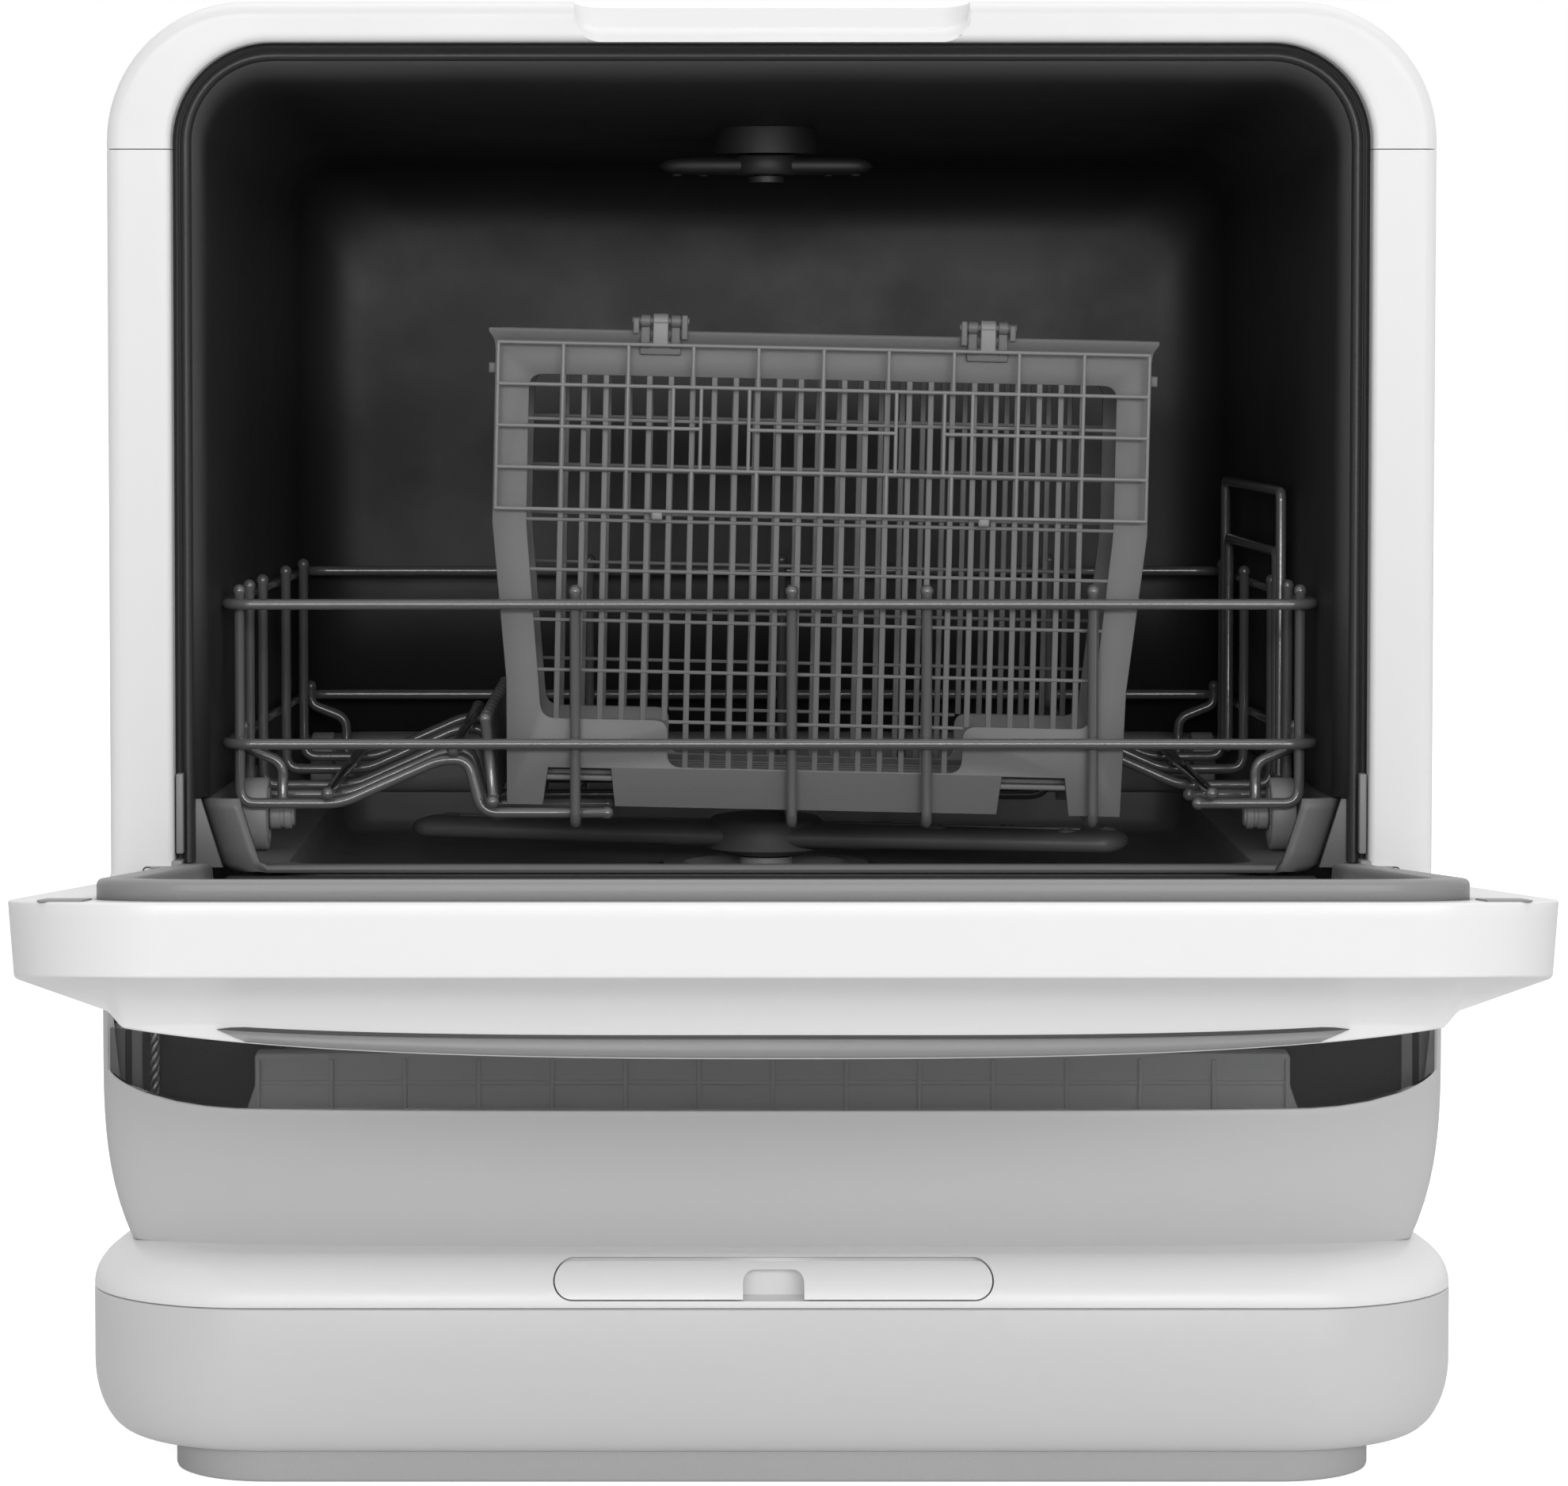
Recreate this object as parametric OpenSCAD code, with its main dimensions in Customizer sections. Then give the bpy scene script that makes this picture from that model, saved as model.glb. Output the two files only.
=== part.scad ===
// Countertop dishwasher with a drop-down door, a wheeled wire rack and a mesh basket.
// Frame: +Z up, the door faces -Y, origin at the centre of the foot's underside.

/* [Housing] */
// Width of the body
body_w = 412; // [400:1:450]
// Height of the body's top above the foot's underside
body_top = 451.5; // [430:0.5:480]
// Distance of the body's front plane ahead of the origin
body_front = 152; // [140:1:170]
// Distance of the body's back behind the origin
body_back = 212; // [190:1:240]
// Outer radius of the body's upper corners
corner_r = 43; // [34:1:60]
// Wall of the outer panels
skin_t = 2.5; // [2:0.1:4]
// Height of the seam between the top cover and the side panels
cover_seam_z = 406; // [380:1:425]
// Gap at every seam between two panels
seam_gap = 0.3; // [0.2:0.1:0.6]
// Width of the grip dent in the top cover
dent_w = 122; // [60:1:180]
// Depth of the grip dent at the front edge
dent_h = 8.5; // [5:0.5:9]

/* [Base] */
// Width of the base
base_w = 420; // [410:1:470]
// Depth of the base
base_d = 428; // [400:1:470]
// Plan radius of the base's corners
base_corner_r = 50; // [30:1:80]
// Height of the seam between the base tray and the base cover
base_seam_z = 55.7; // [50:0.1:62]
// Height of the base cover's top
base_top_z = 70.5; // [67:0.5:80]
// Height of the foot
foot_h = 11; // [8:0.5:14]
// Width of the foot
foot_w = 368; // [340:1:380]
// Depth of the foot
foot_d = 400; // [360:1:410]
// How far the tray's lower edge rounds in
tray_round = 26; // [20:1:34]
// Width of the service flap on the base
flap_w = 132; // [90:1:160]
// Height of the service flap
flap_h = 10.8; // [9:0.1:12]

/* [Front panel] */
// Full depth of the front, from the body's front plane to the crown
front_t = 42.5; // [40:0.5:52]
// Straight part of the sides before the crown starts
front_edge_t = 19.5; // [16:0.5:24]
// Height of the fixed panel's top edge
panel_top_z = 136.5; // [132:0.5:137]
// Height of the smoked window's lower edge
window_z = 114.7; // [100:0.1:122]
// Width of the white pillar on each side of the window
pillar_w = 2; // [1.5:0.1:4]

/* [Opening and tub] */
// Width of the opening in the front
opening_w = 372; // [350:1:384]
// Height of the opening's top
opening_top = 439; // [425:0.5:445]
// Corner radius of the opening
opening_r = 31; // [24:1:40]
// Inner width of the tub at its mouth
tub_w = 356; // [340:1:364]
// Inner width of the tub at its back wall
tub_back_w = 334; // [320:1:350]
// Height of the tub's ceiling at the mouth
tub_top = 429; // [415:0.5:433]
// Height of the tub's ceiling at the back wall
tub_back_top = 409; // [395:0.5:425]
// Distance of the tub's back wall behind the origin
tub_back_y = 140; // [130:1:160]
// Height of the seam between the upper and the lower tub
tub_seam_z = 204; // [198:0.5:212]
// Height of the ledges that the rack's wheels roll on
ledge_z = 182.6; // [178:0.1:190]
// Height of the wash basin's floor
floor_z = 168; // [164:0.5:174]
// Wall of the tub
tub_t = 2.2; // [1.8:0.1:3]

/* [Door] */
// Angle of the open door above the horizontal
open_rise = 4.7; // [0:0.1:8]
// Distance of the hinge axis ahead of the origin
hinge_front = 163.4; // [162:0.1:165]
// Height of the hinge axis
hinge_z = 169; // [166:0.5:172]
// Radius of the hinge pins
hinge_pin_r = 3; // [2:0.1:4]
// Width across the liner's raised rim
liner_w = 365.4; // [350:0.2:368]
// How far the liner's rim stands proud of the door's inner face
rim_h = 5.7; // [4:0.1:5.9]
// Depth of the liner's dish below its rim
dish_t = 20; // [16:0.5:24]
// Width of the crescent grip
grip_w = 302; // [200:1:340]

/* [Rack] */
// Diameter of the rack's wires
wire_d = 3.5; // [3:0.1:4]
// Width of the rack at its front, between wire centres
rack_w = 348; // [320:1:350]
// Width of the rack at its back, between wire centres
rack_back_w = 329; // [310:1:331]
// Distance of the rack's front wires ahead of the origin
rack_front = 112; // [100:1:120]
// Distance of the rack's back wires behind the origin
rack_back = 122; // [100:1:126]
// Height of the upper rim wire
upper_rim_z = 263; // [250:1:280]
// Height of the lower rim wire
lower_rim_z = 218.5; // [212:0.5:225]
// Height of the lengthwise floor wires
floor_wire_z = 192.5; // [192:0.1:196]
// Height of the raised fence on the right side
fence_z = 297; // [280:1:310]
// Radius of the wheels
wheel_r = 11.75; // [10:0.05:14]
// Thickness of the wheels
wheel_t = 8; // [6:0.5:10]

/* [Basket] */
// Width of the mesh basket at its upper edge
basket_w = 209; // [180:1:230]
// Width of the mesh basket at its foot
basket_foot_w = 196; // [170:1:210]
// Height of the mesh basket
basket_h = 153; // [130:1:170]
// Depth of the mesh basket
basket_d = 62; // [45:1:75]
// Distance of the basket's front face ahead of the origin
basket_front = 105; // [95:1:106]
// Sideways lean of the basket in the rack
basket_roll = 1.24; // [0:0.01:2]
// Length of the hanging mesh lid
lid_h = 54; // [40:1:58]

/* [Spray arms] */
// Reach of the lower spray arm
lower_arm_r = 124; // [100:1:130]
// Turn of the lower spray arm at rest
lower_arm_turn = -14; // [-45:1:45]
// Reach of the upper spray arm
upper_arm_r = 36; // [28:1:60]
// Radial clearance of every pin and shaft in its hole
run_gap = 0.05; // [0.02:0.01:0.09]

/* [Connections] */
// Outer radius of the water inlet's threaded spigot
inlet_r = 13.2; // [10:0.1:14]
// Outer radius of the drain spigot
drain_r = 9.5; // [8:0.1:12]
// How far the spigots stand out of the back
spigot_l = 14; // [10:0.5:20]

/* [Hidden] */
$fn = 48;
eps = 0.05;
touch_gap = 0.3;
half_w = body_w / 2;
front_y = -body_front;
inner_face_y = front_y - 0.6;
crown_y = front_y - front_t;
hinge_y = -hinge_front;
open_turn = 90 - open_rise;
gasket_y = front_y + rim_h + 0.4;
flange_y = front_y + 10;
panel_inset = 8.5;
panel_bend_h = 60;
pillar_top_z = 149;
wire_r = wire_d / 2;
cross_wire_z = floor_wire_z + wire_d;
wheel_z = ledge_z + wheel_r;
wheel_front_x = 165;
wheel_back_x = 157;
wheel_front_y = -90;
wheel_back_y = 106;
axle_r = 2;
basket_x = 14;
lid_t = 2.4;
ribs = 13;

// ---------- curves and solids that several pieces share ----------

function mix(a, b, t) = a + (b - a) * t;
function unit(v) = v / norm(v);
function flip(list) = [for (i = [len(list) - 1:-1:0]) list[i]];

// Closed solid through a stack of rings that all have the same number of points.
module skin(rings) {
    n = len(rings[0]);
    last = len(rings) - 1;
    points = [for (ring = rings) each ring];
    sides = [for (i = [0:last - 1], j = [0:n - 1])
        let (k = (j + 1) % n, a = i * n)
        each [[a + j, a + n + k, a + k], [a + j, a + n + j, a + n + k]]];
    ends = [[for (j = [0:n - 1]) j], [for (j = [n - 1:-1:0]) last * n + j]];
    polyhedron(points, concat(sides, ends));
}

// Corner of a path turned into a short arc of three chords.
function bend(a, b, c, r) =
    let (u = unit(a - b), w = unit(c - b), cut = min(r, norm(a - b) * 0.45, norm(c - b) * 0.45))
    [for (t = [0, 0.34, 0.66, 1]) b + u * cut * (1 - t) ^ 2 + w * cut * t ^ 2];
function bent(path, r) = concat([path[0]],
    [for (i = [1:len(path) - 2]) each bend(path[i - 1], path[i], path[i + 1], r)], [path[len(path) - 1]]);
function bent_loop(path, r) = let (n = len(path))
    [for (i = [0:n - 1]) each bend(path[(i + n - 1) % n], path[i], path[(i + 1) % n], r)];

function heading(p, i, closed) =
    let (n = len(p), a = closed ? p[(i + n - 1) % n] : p[max(i - 1, 0)],
         b = closed ? p[(i + 1) % n] : p[min(i + 1, n - 1)])
    unit((b == p[i] ? [0, 0, 0] : unit(b - p[i])) + (a == p[i] ? [0, 0, 0] : unit(p[i] - a)));
function carried(p, closed, side, i = 0) = i == len(p) ? [] :
    let (t = heading(p, i, closed), s = unit(side - (side * t) * t))
    concat([[s, cross(t, s)]], carried(p, closed, s, i + 1));

// Round wire along a path; side is any direction that the path never points in at its start.
module wire(path, side, closed = false, r = wire_r, sides = 8) {
    frames = carried(path, closed, side);
    rings = [for (i = [0:len(path) - 1]) [for (k = [0:sides - 1])
        path[i] + r * (cos(k * 360 / sides) * frames[i][0] + sin(k * 360 / sides) * frames[i][1])]];
    if (closed) {
        n = len(path);
        points = [for (ring = rings) each ring];
        faces = [for (i = [0:n - 1], j = [0:sides - 1])
            let (k = (j + 1) % sides, a = i * sides, b = (i + 1) % n * sides)
            each [[a + j, b + k, a + k], [a + j, b + j, b + k]]];
        polyhedron(points, faces);
    } else {
        skin(rings);
    }
}

// Rounded rectangle with true arcs.
module rounded(w, h, r) {
    square([w - 2 * r, h], center = true);
    square([w, h - 2 * r], center = true);
    for (x = [-1, 1], y = [-1, 1]) {
        translate([x * (w / 2 - r), y * (h / 2 - r)]) circle(r);
    }
}

// Upright arch: straight foot, two rounded upper corners. Drawn in X and Z.
module arch(w, z0, z1, r) {
    translate([-w / 2, z0]) square([w, z1 - r - z0]);
    translate([r - w / 2, z1 - r - eps]) square([w - 2 * r, r + eps]);
    for (x = [-1, 1]) {
        translate([x * (w / 2 - r), z1 - r]) circle(r);
    }
}

// Extrudes an X-Z drawing from y0 back to y1.
module along_y(y0, y1) {
    translate([0, y1, 0]) rotate([90, 0, 0]) linear_extrude(y1 - y0) children();
}

// Extrudes a Y-Z drawing from x0 to x1.
module along_x(x0, x1) {
    translate([x0, 0, 0]) rotate([90, 0, 90]) linear_extrude(x1 - x0) children();
}

// Rod along X.
module rod(x0, x1, y, z, r) {
    translate([x0, y, z]) rotate([0, 90, 0]) cylinder(h = x1 - x0, r = r);
}

module mirrored() {
    children();
    mirror([1, 0, 0]) children();
}

// ---------- base ----------

function base_ring(z, inset) =
    let (hx = base_w / 2 - inset, hy = base_d / 2 - inset, r = base_corner_r - inset * 0.6)
    [for (q = [0:3], k = [0:7])
        let (a = q * 90 + k * 90 / 7, sx = (q == 0 || q == 3) ? 1 : -1, sy = q < 2 ? 1 : -1)
        [sx * (hx - r) + r * cos(a), sy * (hy - r) + r * sin(a), z]];

tray_round_h = 40;
tray_levels = [0, 0.03, 0.1, 0.22, 0.4, 0.65, 1];
function tray_inset(t) = tray_round * (1 - sqrt(1 - (1 - t) ^ 2));
shoulder_r = 14.5;
function shoulder_inset(z) = z <= base_top_z - shoulder_r ? 0
    : shoulder_r * (1 - sqrt(max(0, 1 - ((z - base_top_z + shoulder_r) / shoulder_r) ^ 2)));

module tray_solid(inset, lift) {
    skin(concat([for (t = tray_levels)
        base_ring(foot_h + lift + t * tray_round_h, tray_inset(t) + inset)],
        [base_ring(base_seam_z - seam_gap / 2 + (lift > 0 ? 1 : 0), inset)]));
}

module cover_solid(inset, lift) {
    z0 = base_seam_z + seam_gap / 2;
    skin(concat([base_ring(z0 - lift, inset)],
        [for (z = [base_top_z - shoulder_r, base_top_z - 11, base_top_z - 7,
                   base_top_z - 3.5, base_top_z - 1.2,
                   base_top_z])
            base_ring(z - lift, shoulder_inset(z) + inset)]));
}

module pill(w, h) {
    square([w - h, h], center = true);
    for (x = [-1, 1]) {
        translate([x * (w - h) / 2, 0]) circle(h / 2);
    }
}

flap_z = 63.9;
flap_gap = 0.4;
flap_peg_r = 1.5;
flap_peg_x = 48;
flap_peg_l = 10.1;
pocket_d = 14;
pocket_front = 9 - base_d / 2;
foot_r = 30;

module foot() {
    color("darkgray") difference() {
        linear_extrude(foot_h) rounded(foot_w, foot_d, foot_r);
        translate([0, 0, skin_t]) linear_extrude(foot_h)
            rounded(foot_w - 2 * skin_t, foot_d - 2 * skin_t, foot_r - skin_t);
    }
}

module base_tray() {
    color("gainsboro") difference() {
        tray_solid(0, 0);
        tray_solid(skin_t, skin_t);
    }
}

module flap_peg(r, length) {
    translate([flap_peg_x, pocket_front - 5.5, flap_z]) rotate([-90, 0, 0]) cylinder(h = length, r = r);
}

module base_cover() {
    color("whitesmoke") difference() {
        union() {
            difference() {
                cover_solid(0, 0);
                cover_solid(skin_t, skin_t);
            }
            intersection() {
                cover_solid(0, 0);
                translate([0, 1 - base_d / 2 + pocket_d / 2, flap_z])
                    cube([flap_w + 8, pocket_d - 2, flap_h + 3.6], center = true);
            }
        }
        along_y(-base_d, 1 - base_d / 2 + pocket_d - skin_t) translate([0, flap_z])
            pill(flap_w + 2 * flap_gap, flap_h + 2 * flap_gap);
        mirrored() flap_peg(flap_peg_r + run_gap, flap_peg_l + 2);
    }
}

module service_flap() {
    notch_w = 18.5;
    notch_h = 8.5;
    color("whitesmoke") {
        difference() {
            intersection() {
                difference() {
                    cover_solid(0, 0);
                    cover_solid(skin_t, skin_t);
                }
                along_y(-base_d, pocket_front) translate([0, flap_z]) pill(flap_w, flap_h);
            }
            along_y(-base_d, 0) translate([-notch_w / 2, flap_z - flap_h])
                square([notch_w, flap_h / 2 + notch_h]);
        }
        mirrored() flap_peg(flap_peg_r, flap_peg_l);
    }
}

// ---------- front shape shared by the fixed panel and the door ----------

// Crowned plan: straight sides, then a superellipse of power three.
function crown(inset, back) =
    let (a = half_w - inset, b = front_t - front_edge_t - inset / 3, y0 = front_y - front_edge_t, n = 28)
    concat([[a, back]],
        [for (i = [0:n]) let (t = i * 180 / n, c = cos(t), s = sin(t))
            [a * sign(c) * abs(c) ^ (2 / 3), y0 + inset / 3 - b * abs(s) ^ (2 / 3)]],
        [[-a, back]]);

function panel_bend(z) = panel_inset * max(0, 1 - (z - base_top_z) / panel_bend_h) ^ 3;
panel_levels = [0, 0.08, 0.18, 0.3, 0.45, 0.65, 1];

module panel_solid(inset, ztop, back, drop = 0) {
    skin(concat([for (t = panel_levels) let (z = base_top_z + t * panel_bend_h)
        [for (p = flip(crown(inset + panel_bend(z), back))) [p.x, p.y, z - (t == 0 ? drop : 0)]]],
        [[for (p = flip(crown(inset, back))) [p.x, p.y, ztop]]]));
}

module panel_shell() {
    difference() {
        panel_solid(0, pillar_top_z, front_y);
        panel_solid(skin_t, pillar_top_z + 1, front_y + 1, 1);
    }
}

// Outline of the window as seen from the front, grown by g.
module window_2d(g) {
    half = half_w - pillar_w;
    corner_w = 46;
    corner_h = 20;
    translate([corner_w - half - 1, window_z - g]) square([2 * (half - corner_w + 1), corner_h + 2]);
    translate([-half - g, window_z + corner_h - eps]) square([2 * (half + g), pillar_top_z - window_z]);
    polygon([for (i = [0:12]) let (a = 180 + i * 7.5)
        [corner_w - half + (corner_w + g) * cos(a), window_z + corner_h + (corner_h + g) * sin(a)],
        [corner_w - half, window_z + corner_h + 1], [-half - g, window_z + corner_h + 1]]);
    polygon([for (i = [0:12]) let (a = 270 + i * 7.5)
        [half - corner_w + (corner_w + g) * cos(a), window_z + corner_h + (corner_h + g) * sin(a)],
        [half + g, window_z + corner_h + 1], [half - corner_w, window_z + corner_h + 1]]);
}

module lower_front_panel() {
    color("gainsboro") difference() {
        panel_shell();
        along_y(-base_d, front_y - 1) window_2d(0);
    }
}

module lower_window() {
    color([0.1, 0.1, 0.1, 0.8]) intersection() {
        panel_shell();
        along_y(-base_d, front_y - 2) intersection() {
            window_2d(-0.15);
            translate([-half_w, 0]) square([body_w, panel_top_z]);
        }
    }
}

// ---------- upright housing ----------

module side_panel_2d() {
    levels = [for (t = panel_levels) base_top_z + t * panel_bend_h];
    outer = [for (z = levels) [half_w - panel_bend(z), z]];
    inner = [for (z = flip(levels)) [half_w - skin_t - panel_bend(z), z]];
    top = cover_seam_z - seam_gap / 2;
    polygon(concat(outer, [[half_w, top], [half_w - skin_t, top]], inner));
}

lip_z = hinge_z + 15;

module side_panel() {
    color("whitesmoke") {
        along_y(front_y + seam_gap, body_back) side_panel_2d();
        along_y(front_y, front_y + skin_t)
            translate([opening_w / 2, lip_z])
                square([half_w - opening_w / 2, cover_seam_z - seam_gap / 2 - lip_z]);
        along_y(front_y, flange_y) translate([opening_w / 2, lip_z])
            square([skin_t, cover_seam_z - seam_gap / 2 - lip_z]);
    }
}

module above(z) {
    intersection() {
        children();
        translate([-body_w, z]) square([2 * body_w, body_w]);
    }
}

module top_cover() {
    z0 = cover_seam_z + seam_gap / 2;
    pad = 3;
    color("whitesmoke") difference() {
        union() {
            along_y(front_y, body_back) above(z0) difference() {
                arch(body_w, 0, body_top, corner_r);
                arch(body_w - 2 * skin_t, -1, body_top - skin_t, corner_r - skin_t);
            }
            along_y(front_y, front_y + skin_t) above(z0) difference() {
                arch(body_w - 2, 0, body_top - 1, corner_r - 1);
                arch(opening_w, -1, opening_top, opening_r);
            }
            along_y(front_y + eps, flange_y) above(z0) difference() {
                arch(opening_w + 2 * skin_t, 0, opening_top + skin_t, opening_r + skin_t);
                arch(opening_w, -1, opening_top, opening_r);
            }
            translate([-dent_w / 2 - pad, front_y + 1, body_top - dent_h - pad])
                cube([dent_w + 2 * pad, 34, dent_h + pad - 1]);
        }
        translate([0, front_y, body_top - dent_h]) rotate([13, 0, 0])
            along_y(-20, 60) translate([0, 20]) rounded(dent_w, 40, 8);
    }
}

inlet_x = 150;
drain_x = 110;
power_x = -150;
spigot_z = 96;

module back_panel() {
    color("gainsboro") difference() {
        along_y(body_back - skin_t, body_back - eps) difference() {
            arch(body_w - 2 * skin_t - 2 * touch_gap, base_top_z + panel_bend_h,
                body_top - skin_t - touch_gap,
                 corner_r - skin_t - touch_gap);
        }
        for (i = [-6:6]) {
            translate([i * 14 - 2, body_back - 10, 300]) cube([4, 20, 60]);
        }
    }
    color("gainsboro") difference() {
        w = body_w / 2 - skin_t - touch_gap - panel_inset;
        translate([-w, body_back - skin_t, base_top_z]) cube([2 * w, skin_t - eps, panel_bend_h]);
        for (hole = [[inlet_x, inlet_r], [drain_x, drain_r]]) {
            translate([hole[0], body_back, spigot_z]) rotate([90, 0, 0])
                cylinder(h = 20, r = hole[1] + touch_gap, center = true);
        }
        translate([power_x - 14, body_back - 10, spigot_z - 10.5]) cube([28, 20, 21]);
    }
}

module back_screws() {
    color("silver") for (x = [-1, 1], z = [160, 280, 400]) {
        translate([x * (half_w - 16), body_back, z]) rotate([-90, 0, 0]) cylinder(h = 1.6, r = 3.6);
    }
}

// ---------- tub ----------

function arch_ring(w, z0, z1, r, y) = concat(
    [[-w / 2, y, z0]],
    [for (k = [0:6]) [-w / 2 + r - r * cos(k * 15), y, z1 - r + r * sin(k * 15)]],
    [for (k = [0:6]) [w / 2 - r + r * sin(k * 15), y, z1 - r + r * cos(k * 15)]],
    [[w / 2, y, z0]]);

function tub_ring(grow, z0, y) =
    let (t = (y - flange_y) / (tub_back_y - flange_y))
    arch_ring(mix(tub_w, tub_back_w, t) + 2 * grow, z0, mix(tub_top, tub_back_top, t) + grow,
              opening_r - 8 + grow, y);

function tub_half(y) = mix(tub_w, tub_back_w, (y - flange_y) / (tub_back_y - flange_y)) / 2;

module tub_upper() {
    z0 = tub_seam_z + seam_gap / 2;
    color([0.12, 0.12, 0.12]) {
        difference() {
            skin([tub_ring(tub_t, z0, flange_y), tub_ring(tub_t, z0, tub_back_y + tub_t)]);
            skin([tub_ring(0, z0 - 9, flange_y - 1), tub_ring(0, z0 - 9, tub_back_y)]);
        }
    }
    color([0.12, 0.12, 0.12]) along_y(flange_y, flange_y + tub_t) difference() {
        arch(opening_w + 6, z0, opening_top + 0.8, opening_r);
        arch(tub_w + 2 * tub_t - 2, -1, tub_top + tub_t - 1, opening_r - 9 + tub_t);
    }
}

basin_w = 304;
basin_front = 134;
basin_back = 132;
sump_r = 38;
ledge_drop = 7;

// Trapezium between the seam and the ledges, grown by g.
function slope_ring(g, z1, y) = let (h = tub_half(y) + g)
    [[-h + ledge_drop, y, ledge_z - g], [-h, y, z1], [h, y, z1], [h - ledge_drop, y, ledge_z - g]];

module tub_lower() {
    z1 = tub_seam_z - seam_gap / 2;
    color("dimgray") difference() {
        union() {
            skin([slope_ring(tub_t, z1, flange_y), slope_ring(tub_t, z1, tub_back_y + tub_t)]);
            translate([-basin_w / 2 - tub_t, -basin_front - tub_t, floor_z - tub_t])
                cube([basin_w + 2 * tub_t, basin_front + basin_back + 2 * tub_t,
                      ledge_z - floor_z + tub_t / 2]);
        }
        skin([slope_ring(0, z1 + 9, flange_y - 1), slope_ring(0, z1 + 9, tub_back_y)]);
        translate([-basin_w / 2, -basin_front, floor_z])
            cube([basin_w, basin_front + basin_back, ledge_z]);
        translate([0, 0, floor_z - 10]) cylinder(h = 20, r = sump_r + touch_gap);
    }
    color("dimgray") mirrored() along_y(flange_y, flange_y + tub_t)
        polygon([[tub_half(flange_y) + tub_t / 2, z1], [opening_w / 2 + 3, z1],
            [opening_w / 2 + 3, lip_z - 2],
                 [tub_half(flange_y) - ledge_drop + tub_t + 0.5, lip_z - 2]]);
}

module tub_gasket() {
    color([0.06, 0.06, 0.06]) along_y(gasket_y, flange_y) difference() {
        arch(opening_w - 0.4, lip_z, opening_top - 0.2, opening_r - 0.2);
        arch(tub_w + 4, 0, tub_top + 4, opening_r - 6);
    }
}

sill_half = 170;

module sill_seal() {
    color([0.15, 0.15, 0.15]) translate([-sill_half, front_y + 0.3 - 0.6, floor_z])
        cube([2 * sill_half, flange_y - front_y + 0.3, 11.5]);
}

// ---------- hinges ----------

bracket_x = 184;
bracket_w = 9;
ear_w = 5.2;
ear_r = 8;

module hinge_bracket() {
    color("gray") difference() {
        union() {
            rod(bracket_x, bracket_x + bracket_w, hinge_y, hinge_z, ear_r + 0.6);
            translate([bracket_x, hinge_y, hinge_z - 8]) cube([bracket_w, flange_y - hinge_y, 13]);
            translate([bracket_x, front_y - 4, hinge_z - 8]) cube([bracket_w, flange_y - front_y + 4, 22.5]);
            translate([bracket_x - 3, flange_y - 3, hinge_z - 11])
                cube([half_w - skin_t - bracket_x + 2.9, 3, 17]);
        }
        rod(bracket_x - 1, bracket_x + bracket_w + 1, hinge_y, hinge_z, hinge_pin_r + run_gap);
    }
}

module at_open() {
    translate([0, hinge_y, hinge_z]) rotate([open_turn, 0, 0]) translate([0, -hinge_y, -hinge_z]) children();
}

module door_hinge() {
    pin0 = bracket_x - touch_gap - ear_w;
    pin1 = bracket_x + bracket_w + touch_gap + ear_w;
    color("silver") at_open() {
        rod(pin0 + 1, pin1 - 1, hinge_y, hinge_z, hinge_pin_r);
        for (x = [pin0, pin1 - ear_w]) {
            difference() {
                union() {
                    rod(x, x + ear_w, hinge_y, hinge_z, ear_r);
                    translate([x, hinge_y - ear_r, hinge_z]) cube([ear_w, 6, 36]);
                }
                rod(x + 1 - (x == pin0 ? 0 : 2), x + ear_w + 1 - (x == pin0 ? 0 : 2), hinge_y, hinge_z,
                    hinge_pin_r);
            }
        }
        translate([pin0, hinge_y - ear_r, hinge_z + 34]) cube([pin1 - pin0, 6, 26]);
    }
}

// ---------- door, drawn shut and turned open ----------

skirt_z = 139.5;
door_top = body_top;
step_z = body_top - 42;
ledge_t = 7.5;

// Side view of the door: thin free end, a bulge down to the grip's ledge, then full depth.
module door_profile(inset) {
    y0 = inner_face_y - inset;
    thin = inner_face_y - front_edge_t + inset;
    full = inner_face_y - front_t + inset;
    polygon(concat(
        [[y0, hinge_z], [y0, door_top - inset], [thin, door_top - inset]],
        [for (t = [0.15, 0.3, 0.45, 0.6, 0.8, 1])
            [mix(thin, full + ledge_t, (1 - cos(t * 180)) / 2), mix(door_top - 8, step_z, t) - inset]],
        [[full, step_z - inset], [full, hinge_z]]));
}

module door_plan(inset) {
    polygon([for (p = crown(inset, inner_face_y - inset)) [p.x, p.y - 0.6 + min(inset, 0.6)]]);
}

module door_solid(inset, z0) {
    intersection() {
        translate([0, 0, z0]) linear_extrude(door_top - z0) door_plan(inset);
        along_x(-body_w, body_w) union() {
            door_profile(inset);
            translate([inner_face_y - front_t + inset, z0]) square([front_t - 2 * inset, hinge_z - z0 + 1]);
        }
        along_y(-2 * body_w, 0) arch(body_w - 2 * inset, 0, door_top - inset, corner_r - inset);
    }
}

module door_shell() {
    end_r = hinge_y - inner_face_y;
    notch_r = 14;
    color("whitesmoke") at_open() difference() {
        door_solid(0, skirt_z);
        // hollow inside, open through the skirt
        door_solid(skin_t, skirt_z - 1);
        // hole that the liner's dish passes through
        along_y(inner_face_y - 5, inner_face_y + 5)
            arch(liner_w - 14, 0, liner_top - 7, opening_r - 12);
        // what would sweep into the body below the hinge
        translate([-body_w, hinge_y - 13, skirt_z - 5]) cube([2 * body_w, 40, hinge_z - skirt_z + 5]);
        mirrored() translate([half_w - 6.5, crown_y - 5, skirt_z - 5])
            cube([20, 60, hinge_z - skirt_z + 5 + 0.01]);
        mirrored() translate([bracket_x - 8, hinge_y - notch_r, hinge_z - 1])
            cube([bracket_w + 16, 2 * notch_r, 19]);
    }
}

liner_top = opening_top - 3.3;

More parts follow.
